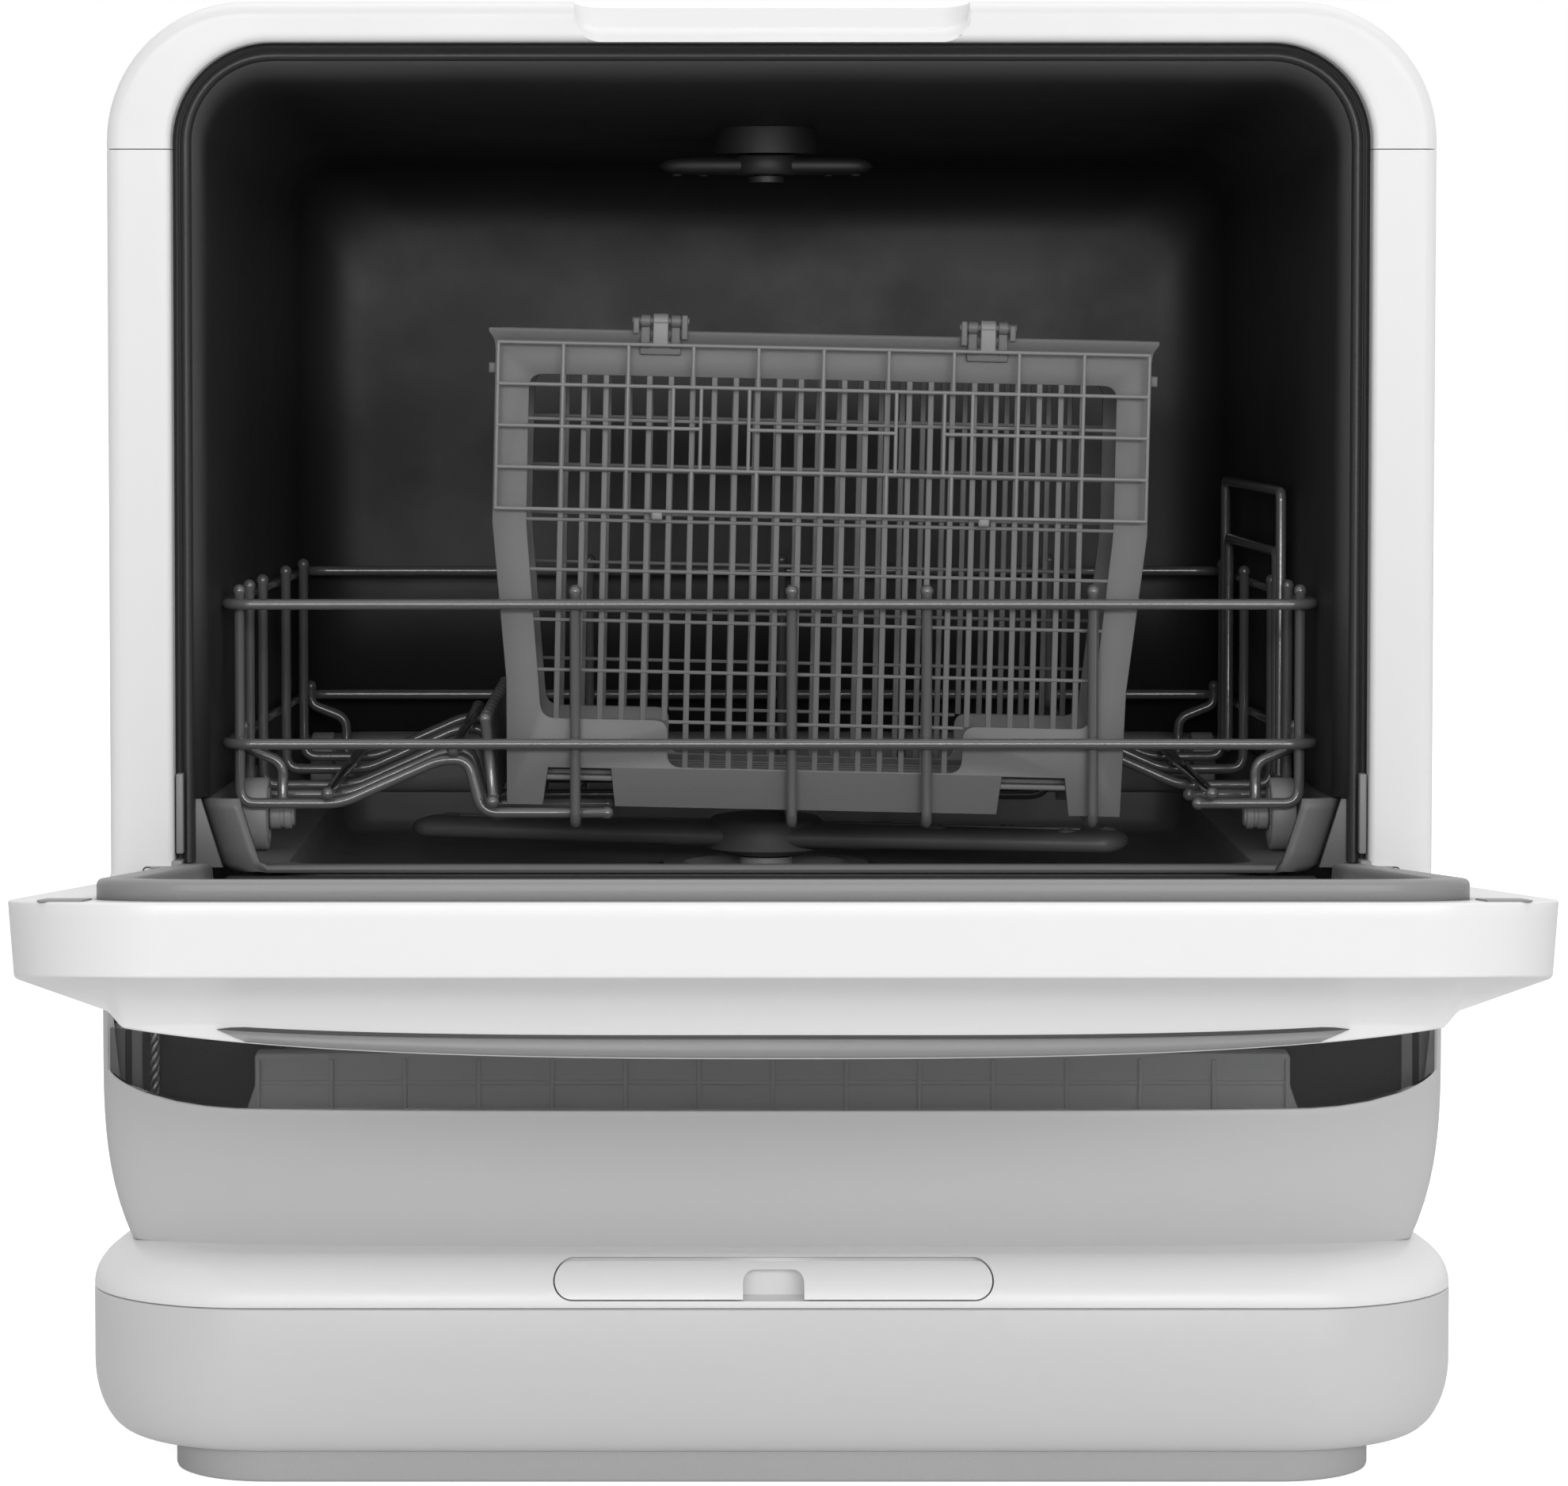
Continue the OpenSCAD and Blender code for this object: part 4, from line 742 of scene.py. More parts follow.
def tank_form():
    """Tank with rounded ends at its top, its upright ribs, its level line and the block under it."""
    half = [(161, 98), (161, 112), (158.5, 119), (158.5, 127.5), (157.5, 128.7)]
    other = [(-x, z) for x, z in half[::-1]]
    tank = plate([other[-1:] + half + other[:-1]], -183.5, -176, 0.8)
    for i in range(15):
        x = mix(-157.5, 157.5, i / 14)
        tank.add(soft_box((x - 0.7, -184.4, 99), (x + 0.7, -183.1, 127), 0.4))
    tank.add(soft_box((-158, -184.1, 119.2), (158, -183.1, 120.6), 0.4))
    return tank.add(soft_box((-161, -177, BASE_TOP), (161, -146, 101), 1.5))


def front_pieces(s):
    """Lower panel, the smoked pane over it, and what shows through the pane. The hose is three twisted strands."""
    half_p = crown_half()
    p = np.unique(np.concatenate([-half_p, half_p, [-0.9905, -0.9901, 0.9901, 0.9905]]))
    high = np.where(np.abs(p) * HALF > 204, 149.0, window_foot(p * HALF))
    panel = front_form(p, np.full(len(p), BASE_TOP), high, edge=0.6)
    # panel finish: the base's white darkened further as painted shade under the door
    finish_piece("lower_panel", panel, "panel", "lower_front_panel", sharp=45)
    p = p[np.abs(p) < 0.99]
    glass = front_form(p, window_foot(p * HALF) + 0.15, np.full(len(p), WINDOW_TOP), 0.05, 0.5, ends=False)
    finish_piece("smoked_pane", glass, "window", "lower_window", sharp=60)
    finish_piece("ribbed_tank", tank_form(), "tank", "water_tank", sharp=40)
    backing = Form().both_sides(soft_box((150.0, -171.4, 101.5), (203.0, -170.2, 137.5), 0.4))
    finish_piece("window_backing", backing, "dark")
    stripes = Form()
    for x0, x1 in ((193.5, 197.0), (199.0, 202.8)):
        stripes.both_sides(soft_box((x0, -172.6, 97), (x1, -171.2, 137), 0.5))
    finish_piece("window_stripes", stripes, "part")
    z = np.linspace(77.5, 137.5, 100)
    hose = Form()
    for start in range(3):
        a = 2 * np.pi * (z / 9 + start / 3)
        path = np.stack([-189.5 + 0.95 * np.cos(a), -175.8 + 0.95 * np.sin(a), z], -1)
        hose.add(tube(path, (0.2, 0.9, 0.1), 0.62, 6))
    hose.add(soft_box((-191, -174.2, BASE_TOP), (-188, -171.2, BASE_TOP + 12), 0.5))
    finish_piece("braided_hose", hose, "steel", "level_hose", sharp=60)


# ---------- base ----------


def base_ring(z, inset):
    """Rounded rectangle of the base at a height, its corners' radius shrinking by 0.6 of the inset. Behind the front
    corners it is drawn in by 5 on each side, over a smooth step in depth from -180 to -110."""
    hx, hy, r = BASE_X - inset, BASE_Y - inset, BASE_R - 0.6 * inset
    a = np.radians(np.linspace(0, 90, 16))
    c, n = r * np.cos(a), r * np.sin(a)
    corners = [np.stack([sx * (hx - r + u), sy * (hy - r + v)], -1)
               for sx, sy, u, v in ((1, 1, c, n), (-1, 1, n, c), (-1, -1, c, n), (1, -1, n, c))]
    straight = np.linspace(0, 1, 26)[1:-1, None]
    ring = np.vstack([np.vstack([here, mix(here[-1], ahead[0], straight)])
                      for here, ahead in zip(corners, corners[1:] + corners[:1])])
    ring[:, 0] *= 1 - 5 / BASE_X * smooth((ring[:, 1] + 180) / 70)
    return level(ring, z)


def base_form(levels):
    """Closed solid through rings of the base, given as (height, inset)."""
    return swept([base_ring(z, inset) for z, inset in levels], True)


def shoulder_form():
    """Cover of the base: a small round at the seam, then a quarter circle over the shoulder."""
    z0 = BASE_SEAM + GAP
    return base_form([(z0, 0.5), (z0 + 0.15, 0.15), (z0 + 0.5, 0.02)] + [
        (BASE_TOP - SHOULDER_R * (1 - np.sin(a)), SHOULDER_R * (1 - np.cos(a)))
        for a in np.radians(np.linspace(5, 90, 16))])


def pegs(profile):
    """The same turned shape at both of the flap's pegs."""
    return [lathe(profile, (x, PEG_Y, FLAP_Z), (0, 1, 0), 20) for x in (-PEG_X, PEG_X)]


def base_pieces(s):
    """Base tray, closed below as a quarter ellipse, its cover, the service flap let into the cover, and the foot."""
    z1 = BASE_SEAM - GAP
    bowl = [(34 - 24 * np.sin(a), 13 * (1 - np.cos(a))) for a in np.radians(np.linspace(90, 0, 22))]
    tray = base_form([(11.0, 17.0), (10.2, 16.0), *bowl, (z1 - 0.5, 0), (z1 - 0.15, 0.12), (z1, 0.5)])
    # pale finish: a paler white, partly painted shade under the open door
    finish_piece("base_bowl", tray, "pale", "base_tray", sharp=50)
    width = to_mm(s.flap_width)
    cutters = [prism(pill(width + 1, FLAP_H + 1, FLAP_Z), -230, -201.5),
               *pegs([(0, 0), (0, 1.55), (12, 1.55), (12, 0)])]
    cover = carve(shoulder_form(), *[("DIFFERENCE", cutter) for cutter in cutters])
    finish_piece("base_shoulder", cover, "white", "base_cover", sharp=40)
    notch = prism(rounded_rect(-9.25, 9.25, FLAP_Z - 20, FLAP_Z + 3.0, 3.5, 7), -230, -190)
    face = carve(shoulder_form(), ("INTERSECT", prism(pill(width, FLAP_H, FLAP_Z), -230, -206)), ("DIFFERENCE", notch))
    finish_piece("flap_cover", face, "white", "service_flap", "flap", sharp=40, modifiers=[
        ("BEVEL", {"width": 0.0005, "segments": 3, "limit_method": "ANGLE", "angle_limit": 0.7})])
    studs = pegs([(0, 0), (0, 1.5), (9.6, 1.5), (10.1, 1.0), (10.1, 0)])
    finish_piece("flap_pegs", fit_all(studs), "white", body="flap")
    foot = swept([level(rounded_rect(i - FOOT_X, FOOT_X - i, i - FOOT_Y, FOOT_Y - i, 30 - i, 14), z)
                  for z, i in ((0.0, 1.2), (0.35, 0.35), (1.2, 0.0), (10.0, 0.0), (11.0, 0.0))], True)
    finish_piece("foot_ring", foot, "foot", "foot", sharp=50)


# ---------- tub and seals ----------


def tub_at(y):
    """Half width and ceiling height of the tub at a depth: both shrink evenly from the mouth to the back wall."""
    t = (y - FLANGE) / (TUB_BACK - FLANGE)
    return mix(*TUB_HALF, t), mix(*TUB_TOP, t)


def hood_form():
    """Flange and mouth, the tapering walls and ceiling, and a quarter round into the back wall."""
    stations = [(189.0, 439.8, 31.0, FLANGE), (183.0, 434.0, 26.5, FLANGE), (180.0, 431.0, 24.5, FLANGE + 0.6),
                (178.6, 429.6, 23.4, FLANGE + 2.2)]
    turn = np.radians(np.linspace(15, 90, 6))
    start = TUB_BACK - TUB_ROUND
    depths = np.concatenate([[-138.0], np.linspace(-100, 100, 6), [start], start + TUB_ROUND * np.sin(turn)])
    drops = np.concatenate([np.zeros(8), TUB_ROUND * (1 - np.cos(turn))])
    for y, drop in zip(depths, drops):
        half, top = tub_at(y)
        stations.append((half - drop, top - drop, 23.0, y))
    hood = Form()
    index = hood.grid(np.stack([upright(arch(half, top, r, TUB_SEAM + GAP, 4, 12, np.linspace(-1, 1, 13))[0], y)
                                for half, top, r, y in stations]))
    hood.face(index[-1])
    return hood


def basin_loop(x, y0, y1, r, z, taper=0.0):
    """Rounded rectangle in plan; its width changes evenly from front to back by the taper."""
    corners = rounded_rect(-x, x, y0, y1, r, 9)
    side = np.linspace(0, 1, 6, endpoint=False)[:, None]
    ring = np.vstack([mix(corners[k], corners[(k + 1) % 36], side) if k % 9 == 8 else corners[k:k + 1]
                      for k in range(36)])
    ring[:, 0] *= 1 - taper * (ring[:, 1] - FLANGE) / (TUB_BACK - FLANGE)
    return level(ring, z)


def basin_form():
    """Sloping walls, open at the front, then the ledge round the pit, the pit's wall and its floor round the sump."""
    width = TUB_HALF[0]
    slope = [(width, TUB_SEAM - GAP), (177.2, 200.5), (173.2, 187.8), (171.8, 184.0), (169.6, 182.6)]
    rings = [basin_loop(x, FLANGE, TUB_BACK - (width - x) * 0.4, 12.0, z, 11.0 / width) for x, z in slope]
    front = np.where(np.isclose(rings[0][:, 1], FLANGE))[0]
    count = len(rings[0])
    span = np.roll(np.arange(count), -int(front[-1]))[:count - len(front) + 2]
    basin = Form()
    basin.grid(np.stack(rings)[:, span])
    ledge = [rings[-1]] + [basin_loop(x, 18 - x, x - 20, r, z) for x, r, z in (
        (153.0, 12.0, 182.6), (152.2, 11.5, 182.2), (152.0, 11.0, 181.0), (151.0, 11.0, 173.0), (149.6, 11.0, 169.4),
        (146.5, 11.0, PIT_Z))]
    ledge.append(basin_loop(90.0, -80.0, 80.0, 30.0, PIT_Z))
    a = np.arctan2(ledge[-1][:, 1], ledge[-1][:, 0])
    ledge.append(level(np.stack([38.3 * np.cos(a), 38.3 * np.sin(a)], -1), PIT_Z))
    basin.grid(np.stack(ledge), wrap_v=True)
    return basin


def seal_form():
    """Two soft lips carried round the mouth, each place given as its share of the way inwards and its depth."""
    across = np.linspace(-1, 1, 13)
    o, i = arch(185.8, 438.8, 30.8, 184, 2, 14, across)[0], arch(180, 433, 25, 184, 2, 14, across)[0]
    bulb = [(0.0, -142.0), (0.0, -143.6), (0.06, -144.5), (0.16, -144.9), (0.26, -144.6), (0.32, -144.1), (0.4, -144.6),
            (0.5, -145.4), (0.62, -145.9), (0.76, -145.6), (0.88, -144.8), (0.96, -143.6), (1.0, -142.0)]
    return swept(np.stack([upright(mix(o, i, t), y) for t, y in bulb], 1))


def tub_pieces(s):
    """Hood and basin of the tub, the flanges, hooks and slots beside its mouth, and the seal round it."""
    wall = [("SOLIDIFY", {"thickness": SHEET, "offset": 1.0})]
    finish_piece("tub_hood", hood_form(), "hood", "tub_upper", sharp=45, modifiers=wall)
    finish_piece("tub_basin", basin_form(), "basin", "tub_lower", sharp=45, modifiers=wall)
    ear = plate([[(178.4, 203.8), (189.0, 203.8), (189.0, 182.0), (171.6, 182.0)]], FLANGE, FLANGE + 2.2, 0.5)
    finish_piece("tub_ears", Form().both_sides(ear), "ear")
    hooks = Form().both_sides(soft_box((183.4, -151.6, 180.4), (187.6, -143.0, 185.2), 0.6))
    hooks.both_sides(soft_box((183.3, -149.0, 187.0), (185.6, -142.6, 212.0), 0.5))
    finish_piece("side_hooks", hooks, "liner")
    slots = [plate([rounded_rect(x - w, x + w, z0, z1, r, 8) for w, z0, z1, r in ((3.6, 180.4, 183.4, 1.45),
                                                                                  (3.1, 180.9, 182.9, 0.95))],
                   FRONT - 0.08, FRONT + 0.4, 0.05) for x in (-192.2, 192.2)]
    finish_piece("side_slots", fit_all(slots), "rubber")
    finish_piece("mouth_seal", seal_form(), "rubber", "tub_gasket", sharp=60)
    dress("rubber", "sill_seal")


# ---------- door ----------


def grip_height(x, width):
    """Height of the grip's ledge: it drops along a parabola from the middle to the grip's ends. Past them it fades to
    nothing by a smooth step 30 long."""
    u = np.clip(2 * np.abs(x) / width, 0, 1)
    return (LEDGE_H - LEDGE_LOSS * u ** 2) * (1 - smooth((np.abs(x) - width / 2) / 30.0))


def door_crown(x, z):
    """Thickness of the door under its crown. Low down it rises from the edge's by a share (1 - u^3)^(1/3), with u the
    share of the half width. Towards the free end the power is 2.5 instead of 3, and past u = 0.86 a straight slope
    takes over."""
    u = np.minimum(np.abs(x) / HALF, 1)
    low = (1 - u ** 3) ** (1 / 3)
    high = mix((1 - u ** 2.5) ** 0.4, 0.04 + 3.15 * (1 - u), smooth((u - 0.85) / 0.024))
    return EDGE_T + (CROWN_T - EDGE_T) * mix(low, high, smooth((z - 230) / 160))


def door_depth(x, z, grip):
    """Thickness of the door. Below the ledge it is the crown. Above it the thickness falls along a quarter ellipse,
    steep at the ledge, from the crown less the ledge's height to the edge's at the free end."""
    full = door_crown(x, z)
    t = np.clip((SLOPE_END - z) / (SLOPE_END - GRIP_Z), 0, 1)
    high = grip_height(x, grip)
    used, fall = 0.88, 0.6536  # share of the ellipse's square that is used, and its fall there: 1 - sqrt(1 - used)
    return np.where(z <= GRIP_Z, full, EDGE_T + (full - high - EDGE_T) * (1 - np.sqrt(1 - used * t * t)) / fall)


def arch_inside(x, z, half, top, r):
    """Distance in from the outline of an arch: to the nearer side, or to the corner's arc."""
    dx, dz = np.abs(x) - (half - r), z - (top - r)
    return np.where((dx > 0) & (dz > 0), r - np.hypot(dx, dz), np.minimum(half - np.abs(x), top - z))


def from_middle(points, half, top):
    """Upright unit directions from the straight middle of an arch to points round it, and where each one starts."""
    start = np.stack([np.clip(points[:, 0], -half, half), 0 * points[:, 0], np.minimum(points[:, 2], top)], -1)
    return unit((points - start) * (1, 0, 1)), start


def door_form(s):
    """Outer face as a height over X and Z, its edge rounded off, then the side wall, which spreads by the draft towards
    the liner, and the ring round the liner."""
    grip, edge = to_mm(s.grip_width), to_mm(s.door_edge)
    half, top, corner = HALF - DRAFT, TOP - DRAFT, CORNER - DRAFT
    near = np.array([0, 0.04, 0.16, 0.35, 0.6, 0.9, 1.3])
    z = np.concatenate([np.linspace(HINGE_Z, 187.3, 4), np.linspace(187.6, 395, 30), np.linspace(400, 408.5, 5),
                        [409.2, GRIP_Z, GRIP_Z + 0.02], np.linspace(410, 444, 32),
                        np.linspace(445, top - 1.6 * edge, 6), top - edge * near[::-1]])[:, None]
    u = crown_half()
    grip_end = np.concatenate([np.linspace(grip / 2 - 9, grip / 2 + 1, 9), np.linspace(3, 31, 8) + grip / 2]) / half
    u = np.concatenate([u[u < 0.98], grip_end, np.linspace(0.845, 0.885, 9), 1 - near * edge / half])
    u = np.unique(np.round(u, 5))
    u = np.concatenate([-u[::-1], u[u > 0]])
    x = u * (half - corner + np.sqrt(corner ** 2 - np.clip(z - (top - corner), 0, corner) ** 2))
    lip = np.clip(1.0 - (GRIP_Z - z), 0, 1)
    rounded = np.where((z <= GRIP_Z) & (z > GRIP_Z - 1), np.minimum(1 - np.sqrt(1 - lip ** 2), grip_height(x, grip)), 0)
    depth = door_depth(x, z, grip) - rounded - round_off(arch_inside(x, z, half, top, corner), edge)
    face = np.stack([x, DOOR_FACE - depth, np.broadcast_to(z, x.shape)], -1)
    form = Form()
    form.grid(face)
    rim = np.vstack([face[:, 0], face[-1, 1:-1], face[::-1, -1]])
    back = DOOR_FACE - 0.7
    out, _ = from_middle(rim, 163, TOP - CORNER)
    flat = rim * (1, 0, 1)
    rows = [flat + out * DRAFT * v + np.array([0, 1, 0]) * mix(rim[:, 1:2], back, v) for v in np.linspace(0, 1, 6)]
    rows += [flat + out * (DRAFT - 0.7 * (1 - np.cos(a))) + (0, back + 0.7 * np.sin(a), 0)
             for a in np.radians([30, 60, 90])]
    out, start = from_middle(rim, 156.7, 409.7)
    hole = start + 19 * out + (0, DOOR_FACE, 0)
    notch = rim[:, 2] < 187.4
    hole[notch, 0] = np.sign(hole[notch, 0]) * 201.5
    rows += [mix(rows[-1], hole, v) for v in (0.5, 1.0)]
    form.grid(np.stack(rows))
    return form


def skirt_form():
    """Wall below the hinge line that covers the gap when the door is shut: the crown's plan, with a rounded foot."""
    half_p = crown_half()
    x = np.clip(np.unique(np.concatenate([-half_p, half_p])) * HALF, -199.4, 199.4)
    full = EDGE_T + (CROWN_T - EDGE_T) * (1 - (np.abs(x) / HALF) ** 3) ** (1 / 3)
    section = [(172.0, 0.03), (150.0, 0.03), (140.3, 0.03), (139.75, 0.3), (139.5, 0.9), (139.5, 1.9), (140.3, SKIN),
               (150.0, SKIN), (172.0, SKIN)]
    return swept(np.stack([np.stack([x, DOOR_FACE - full + inset, np.full(len(x), z)], -1) for z, inset in section], 1))


def liner_form():
    """Raised rim, wall and floor of the dish, carried round the arch, and the floor filled in."""
    xz, n = arch(182.7, 435.7, 28.0, 181.0, 6, 14, np.linspace(-1, 1, 15))
    turn = np.radians(np.linspace(0, 90, 5))
    top, r = -146.9, 1.7
    section = [(0.0, -152.55), (0.0, -149.6)]
    section += [(r * (1 - np.cos(a)), top - r + r * np.sin(a)) for a in turn]
    section += [(9.0 + r * np.sin(a), top - r * (1 - np.cos(a))) for a in turn]
    section += [(12.0, -163.4)] + [(12.3 + 3.4 * (1 - np.cos(a)), -163.5 - 3.4 * np.sin(a)) for a in turn]
    form = Form()
    index = form.grid(np.stack([upright(xz - n * inset, y) for inset, y in section]))
    form.face(index[-1])
    return form


def across_grip(width, section):
    """Places of a strip that runs along the grip: x down the rows, and for each point of its section the share of the
    way towards the ledge and the height."""
    t, up = np.array(section).T
    return np.linspace(-1, 1, 81)[:, None] * width, t, up


def crescent_form(grip):
    """Crescent under the grip: as deep as the ledge is high, its ends sheared inwards."""
    x, t, up = across_grip(grip / 2 - 0.4, [(0.0, 0.1), (0.0, 0.75), (0.06, 1.1), (0.14, 1.3), (0.5, 1.2), (0.85, 1.1),
                                            (0.95, 0.9), (1.0, 0.4), (1.0, 0.1)])
    x = x * (1 - (1 - t) * 16 / grip)
    depth = door_crown(x, GRIP_Z) - 0.35 - t * (grip_height(x, grip) - 1.15)
    return swept(np.stack([x, DOOR_FACE - depth, GRIP_Z + 0.02 + up + 0 * x], -1))


def painted_shadow_form(grip):
    """Dark strip between the crescent and the door's face, a painted shadow of the gap there; it narrows over the last
    6 at each end.
    """
    x, t, up = across_grip(grip / 2 - 0.5, [(0.0, 0.02), (0.0, 0.3), (1.0, 0.3), (1.0, 0.02)])
    depth = door_crown(x, GRIP_Z) - grip_height(x, grip) + 0.85 - t * 1.1 * np.clip((grip / 2 - np.abs(x)) / 6, 0.1, 1)
    return swept(np.stack([x + 0 * t, DOOR_FACE - depth, GRIP_Z + 0.02 + up + 0 * x], -1))


def door_pieces(s):
    """The door's pieces, made shut and then turned open."""
    grip = to_mm(s.grip_width)
    wall = [("SOLIDIFY", {"thickness": SHEET, "offset": -1.0})]
    ribs = [lathe([(0, 8), (0, 10.1), (0.4, 10.5), (342.6, 10.5), (343, 10.1), (343, 8)], (-171.5, HINGE_Y, HINGE_Z),
                  (1, 0, 0), 48, closed=True), soft_box((-171.4, -169.1, 178.2), (171.4, -166.9, 183), 0.5)]
    ribs += [soft_box((x - 1.2, -167.2, 215), (x + 1.2, -165.4, 400), 0.8) for x in np.linspace(-120, 120, 7)]
    tabs = Form().both_sides(soft_box((183, DOOR_FACE - 0.1, TOP - 34), (195, DOOR_FACE + 0.5, TOP - 12), 0.25))
    for name, form, finish, stands_for, sharp, modifiers in (
            ("door_face", door_form(s), "white", "door_shell", 42, wall),
            ("door_skirt", skirt_form(), "white", None, 45, ()),
            ("liner_dish", liner_form(), "liner", "door_liner", 50, wall),
            ("liner_ribs", fit_all(ribs), "liner", None, 50, ()),
            ("grip_crescent", crescent_form(grip), "grip", "door_grip", 45, ()),
            # painted shadow: a strip in the dark finish where the gap under the ledge lies in shade
            ("grip_shadow_gap", painted_shadow_form(grip), "dark", None, 45, ()),
            ("liner_tabs", tabs, "liner", "door_tabs", 60, ())):
        finish_piece(name, Form().add(form, opened), finish, stands_for, "door", sharp, modifiers)
    dress("steel", "door_hinge_left", "door_hinge_right")
    dress("liner", "hinge_bracket_left", "hinge_bracket_right")


# ---------- rack ----------


def rack_pieces(s):
    """Wire rack: two rims, floor loops, cross wires with a hump at each side, rails, tines, fence and axle hangers."""
    d = to_mm(s.wire)
    r, ball = d / 2, d * 0.61
    cross_z, rail_z = RACK_FLOOR + d, RACK_FLOOR + d + 3
    (front, back), (wide, narrow) = RACK_Y, RACK_X

    def piece(name, forms, node_name):
        """One group of wires."""
        finish_piece(name, fit_all(forms), "wire", node_name, "rack", 70)

    def post_x(y):
        """Place of a post just inside the rim, whose half width shrinks evenly from the front to the back."""
        return mix(wide, narrow, (y - front) / (back - front)) - d - (1.0 if y < -102 else 0.15)

    def bent(path, reach, plane):
        """Wire along a path with rounded corners and ball ends."""
        return tube(rounded_path(path, reach), plane, r, ball=ball)

    def along_x(y, half):
        """Points in X and Z as a path at a depth."""
        return [(x, y, z) for x, z in half]

    for name, z in RIMS:
        corners = [(-wide, front, z), (wide, front, z), (narrow, back, z), (-narrow, back, z)]
        piece("rim_" + name, [tube(rounded_path(corners, 10, 9, True), (0, 0, 1), r, 14, True)], f"rack_{name}_rim")
    y0, y1 = front + d, back - d
    piece("floor_loops", [bent([(x, y0, WIRE_TOP), (x, y0, RACK_FLOOR), (x, y1, RACK_FLOOR), (x, y1, WIRE_TOP)], 4,
                               (1, 0, 0)) for x in (-62, 7, 50, 103)], "rack_floor_wires")
    cross = []
    for y in (-36, 30, 84, -105, -72):
        post = [(post_x(y), WIRE_TOP), (post_x(y), rail_z), (137, rail_z)]
        half = post + [(105.5, HUMP), (96.5, HUMP), (92, cross_z)]
        if y > -40:
            wires = [half + [(-x, z) for x, z in half[::-1]]]
        else:
            wires = [[(-x, z) for x, z in half + [(52, cross_z)]], post]
        cross += [bent(along_x(y, wire), 5, (0, 1, 0)) for wire in wires]
    piece("cross_wires", cross, "rack_cross_wires")
    piece("side_rails", [tube([(x, y, z), (x, 89, z)], (1, 0, 0), r, ball=ball) for x, y, z in (
        (-141, -109, rail_z + d), (141, -109, rail_z + d), (-101, -109, HUMP + d), (101, -39, HUMP + d))],
        "rack_side_rails")
    z = cross_z + d + 0.4
    tines = [tube([(-88.5, -109, z), (-88.5, 89, z)], (1, 0, 0), r, ball=ball)]
    tines += [tube([(-88.5, y, z + r * 0.5), (-91, y, z + 26)], (0, 1, 0), r, ball=ball) for y in range(-101, 81, 16)]
    piece("tines", tines, "rack_tines")
    fence = []
    for top, step in ((297, 0), (277, 9)):
        low, ends = cross_z + 8, (step - 56, 78 - step)
        (x0, y0), (x1, y1) = ((post_x(y), y) for y in ends)
        fence.append(bent([(x0, y0, low), (x0, y0, top), (x1, y1, top), (x1, y1, low)], 3, (1, 0.04, 0)))
    piece("side_fence", fence, "rack_fence")
    hangers = []
    for wx, wy in WHEEL_AT:
        x, post = wx - 8.3, post_x(wy)
        hanger = bent(along_x(wy, [(post, 222.5), (post, 216), (x, 211), (x, WHEEL_Z + 4.0)]), 4, (0, 1, 0))
        hangers.append(Form().both_sides(hanger))
    piece("axle_hangers", hangers, "rack_axle_wires")


def wheel_pieces(s):
    """Four hubs on the rack, and on each a wheel with six spokes."""
    barrel = [(0, 0), (0, 3.4), (0.3, 3.9), (0.9, 3.9), (0.9, 4.5), (1.3, 4.9), (3.2, 4.9), (3.4, 4.5), (4.6, 4.5),
              (4.8, 4.9), (7.6, 4.9), (8, 4.5), (8, 2.0), (15.4, 2.0), (15.8, 1.6), (15.8, 0)]
    hubs = Form()
    for x, y in WHEEL_AT:
        hubs.both_sides(lathe(barrel, (x - 12.3, y, WHEEL_Z), (1, 0, 0), 32))
    finish_piece("wheel_barrels", hubs, "part", "wheel_hubs", "rack", 40)
    half = [(4.0, 2.06), (4.0, 4.4), (3.75, 4.6), (2.4, 4.8), (2.4, 8.6), (3.7, 8.9), (4.0, 9.2), (4.0, 10.9),
            (3.75, 11.4), (3.3, 11.65)]
    rim = [(4 - t, radius) for t, radius in half] + [(4 + t, radius) for t, radius in half[::-1]]
    for place, short, (x, y) in (("front", "f", WHEEL_AT[0]), ("back", "b", WHEEL_AT[1])):
        for side, sign in (("left", -1), ("right", 1)):
            wheel = lathe(rim, (x * sign - 4, y, WHEEL_Z), (1, 0, 0), 56, closed=True)
            for angle in range(0, 360, 60):
                def spoke_at(p):
                    """Turns a spoke and sets it at the wheel's axle."""
                    across, up = turned(p[:, 1], p[:, 2], angle)
                    return np.stack([p[:, 0] + x * sign, y + across, WHEEL_Z + up], -1)
                wheel.add(soft_box((-3.9, 4.2, -0.6), (3.9, 9.0, 0.6), 0.4), spoke_at)
            body = f"wheel_{short}{side[0]}"
            finish_piece(f"roller_{place}_{side}", wheel, "part", f"wheel_{place}_{side}", body, 40)


# ---------- basket ----------


def notched(spans, outline, height):
    """Outline whose foot has notches cut up from below between the given places."""
    foot = [(a, z) for lo, hi in spans for a, z in ((lo, 0), (lo + 1.5, height), (hi - 1.5, height), (hi, 0))]
    return np.vstack([outline, np.array(foot, float)])


def window_outline():
    """Basket's window: it narrows downwards like the basket, with round corners and a deeper middle section."""
    half = [(93.5, 137.5), (93.5, 90), (87.5, 28), (47, 28), (47, 13)]
    ring = [(x, 0, z) for x, z in half] + [(-x, 0, z) for x, z in half[::-1]]
    return rounded_path(ring, 4.5, 6, closed=True)[:, (0, 2)]


def grid_form(y, bar):
    """Mesh of upright and level bars that fills the window, each bar a thin rounded strip."""
    form = Form()
    for k in range(-12, 13):
        x, low = 6.9 * k, 12.6 if abs(k) < 7 else 27.6
        form.add(soft_box((x - bar / 2, y, low), (x + bar / 2, y + 1.4, 137.9), 0.3))
    for k in range(7):
        z, half = 27.4 + 16 * k, 47.3 if k == 0 else 87.8 + 1.5 * min(k, 4)
        form.add(soft_box((-half, y - 0.14, z - 0.6), (half, y + 1.3, z + 0.6), 0.35))
    return form


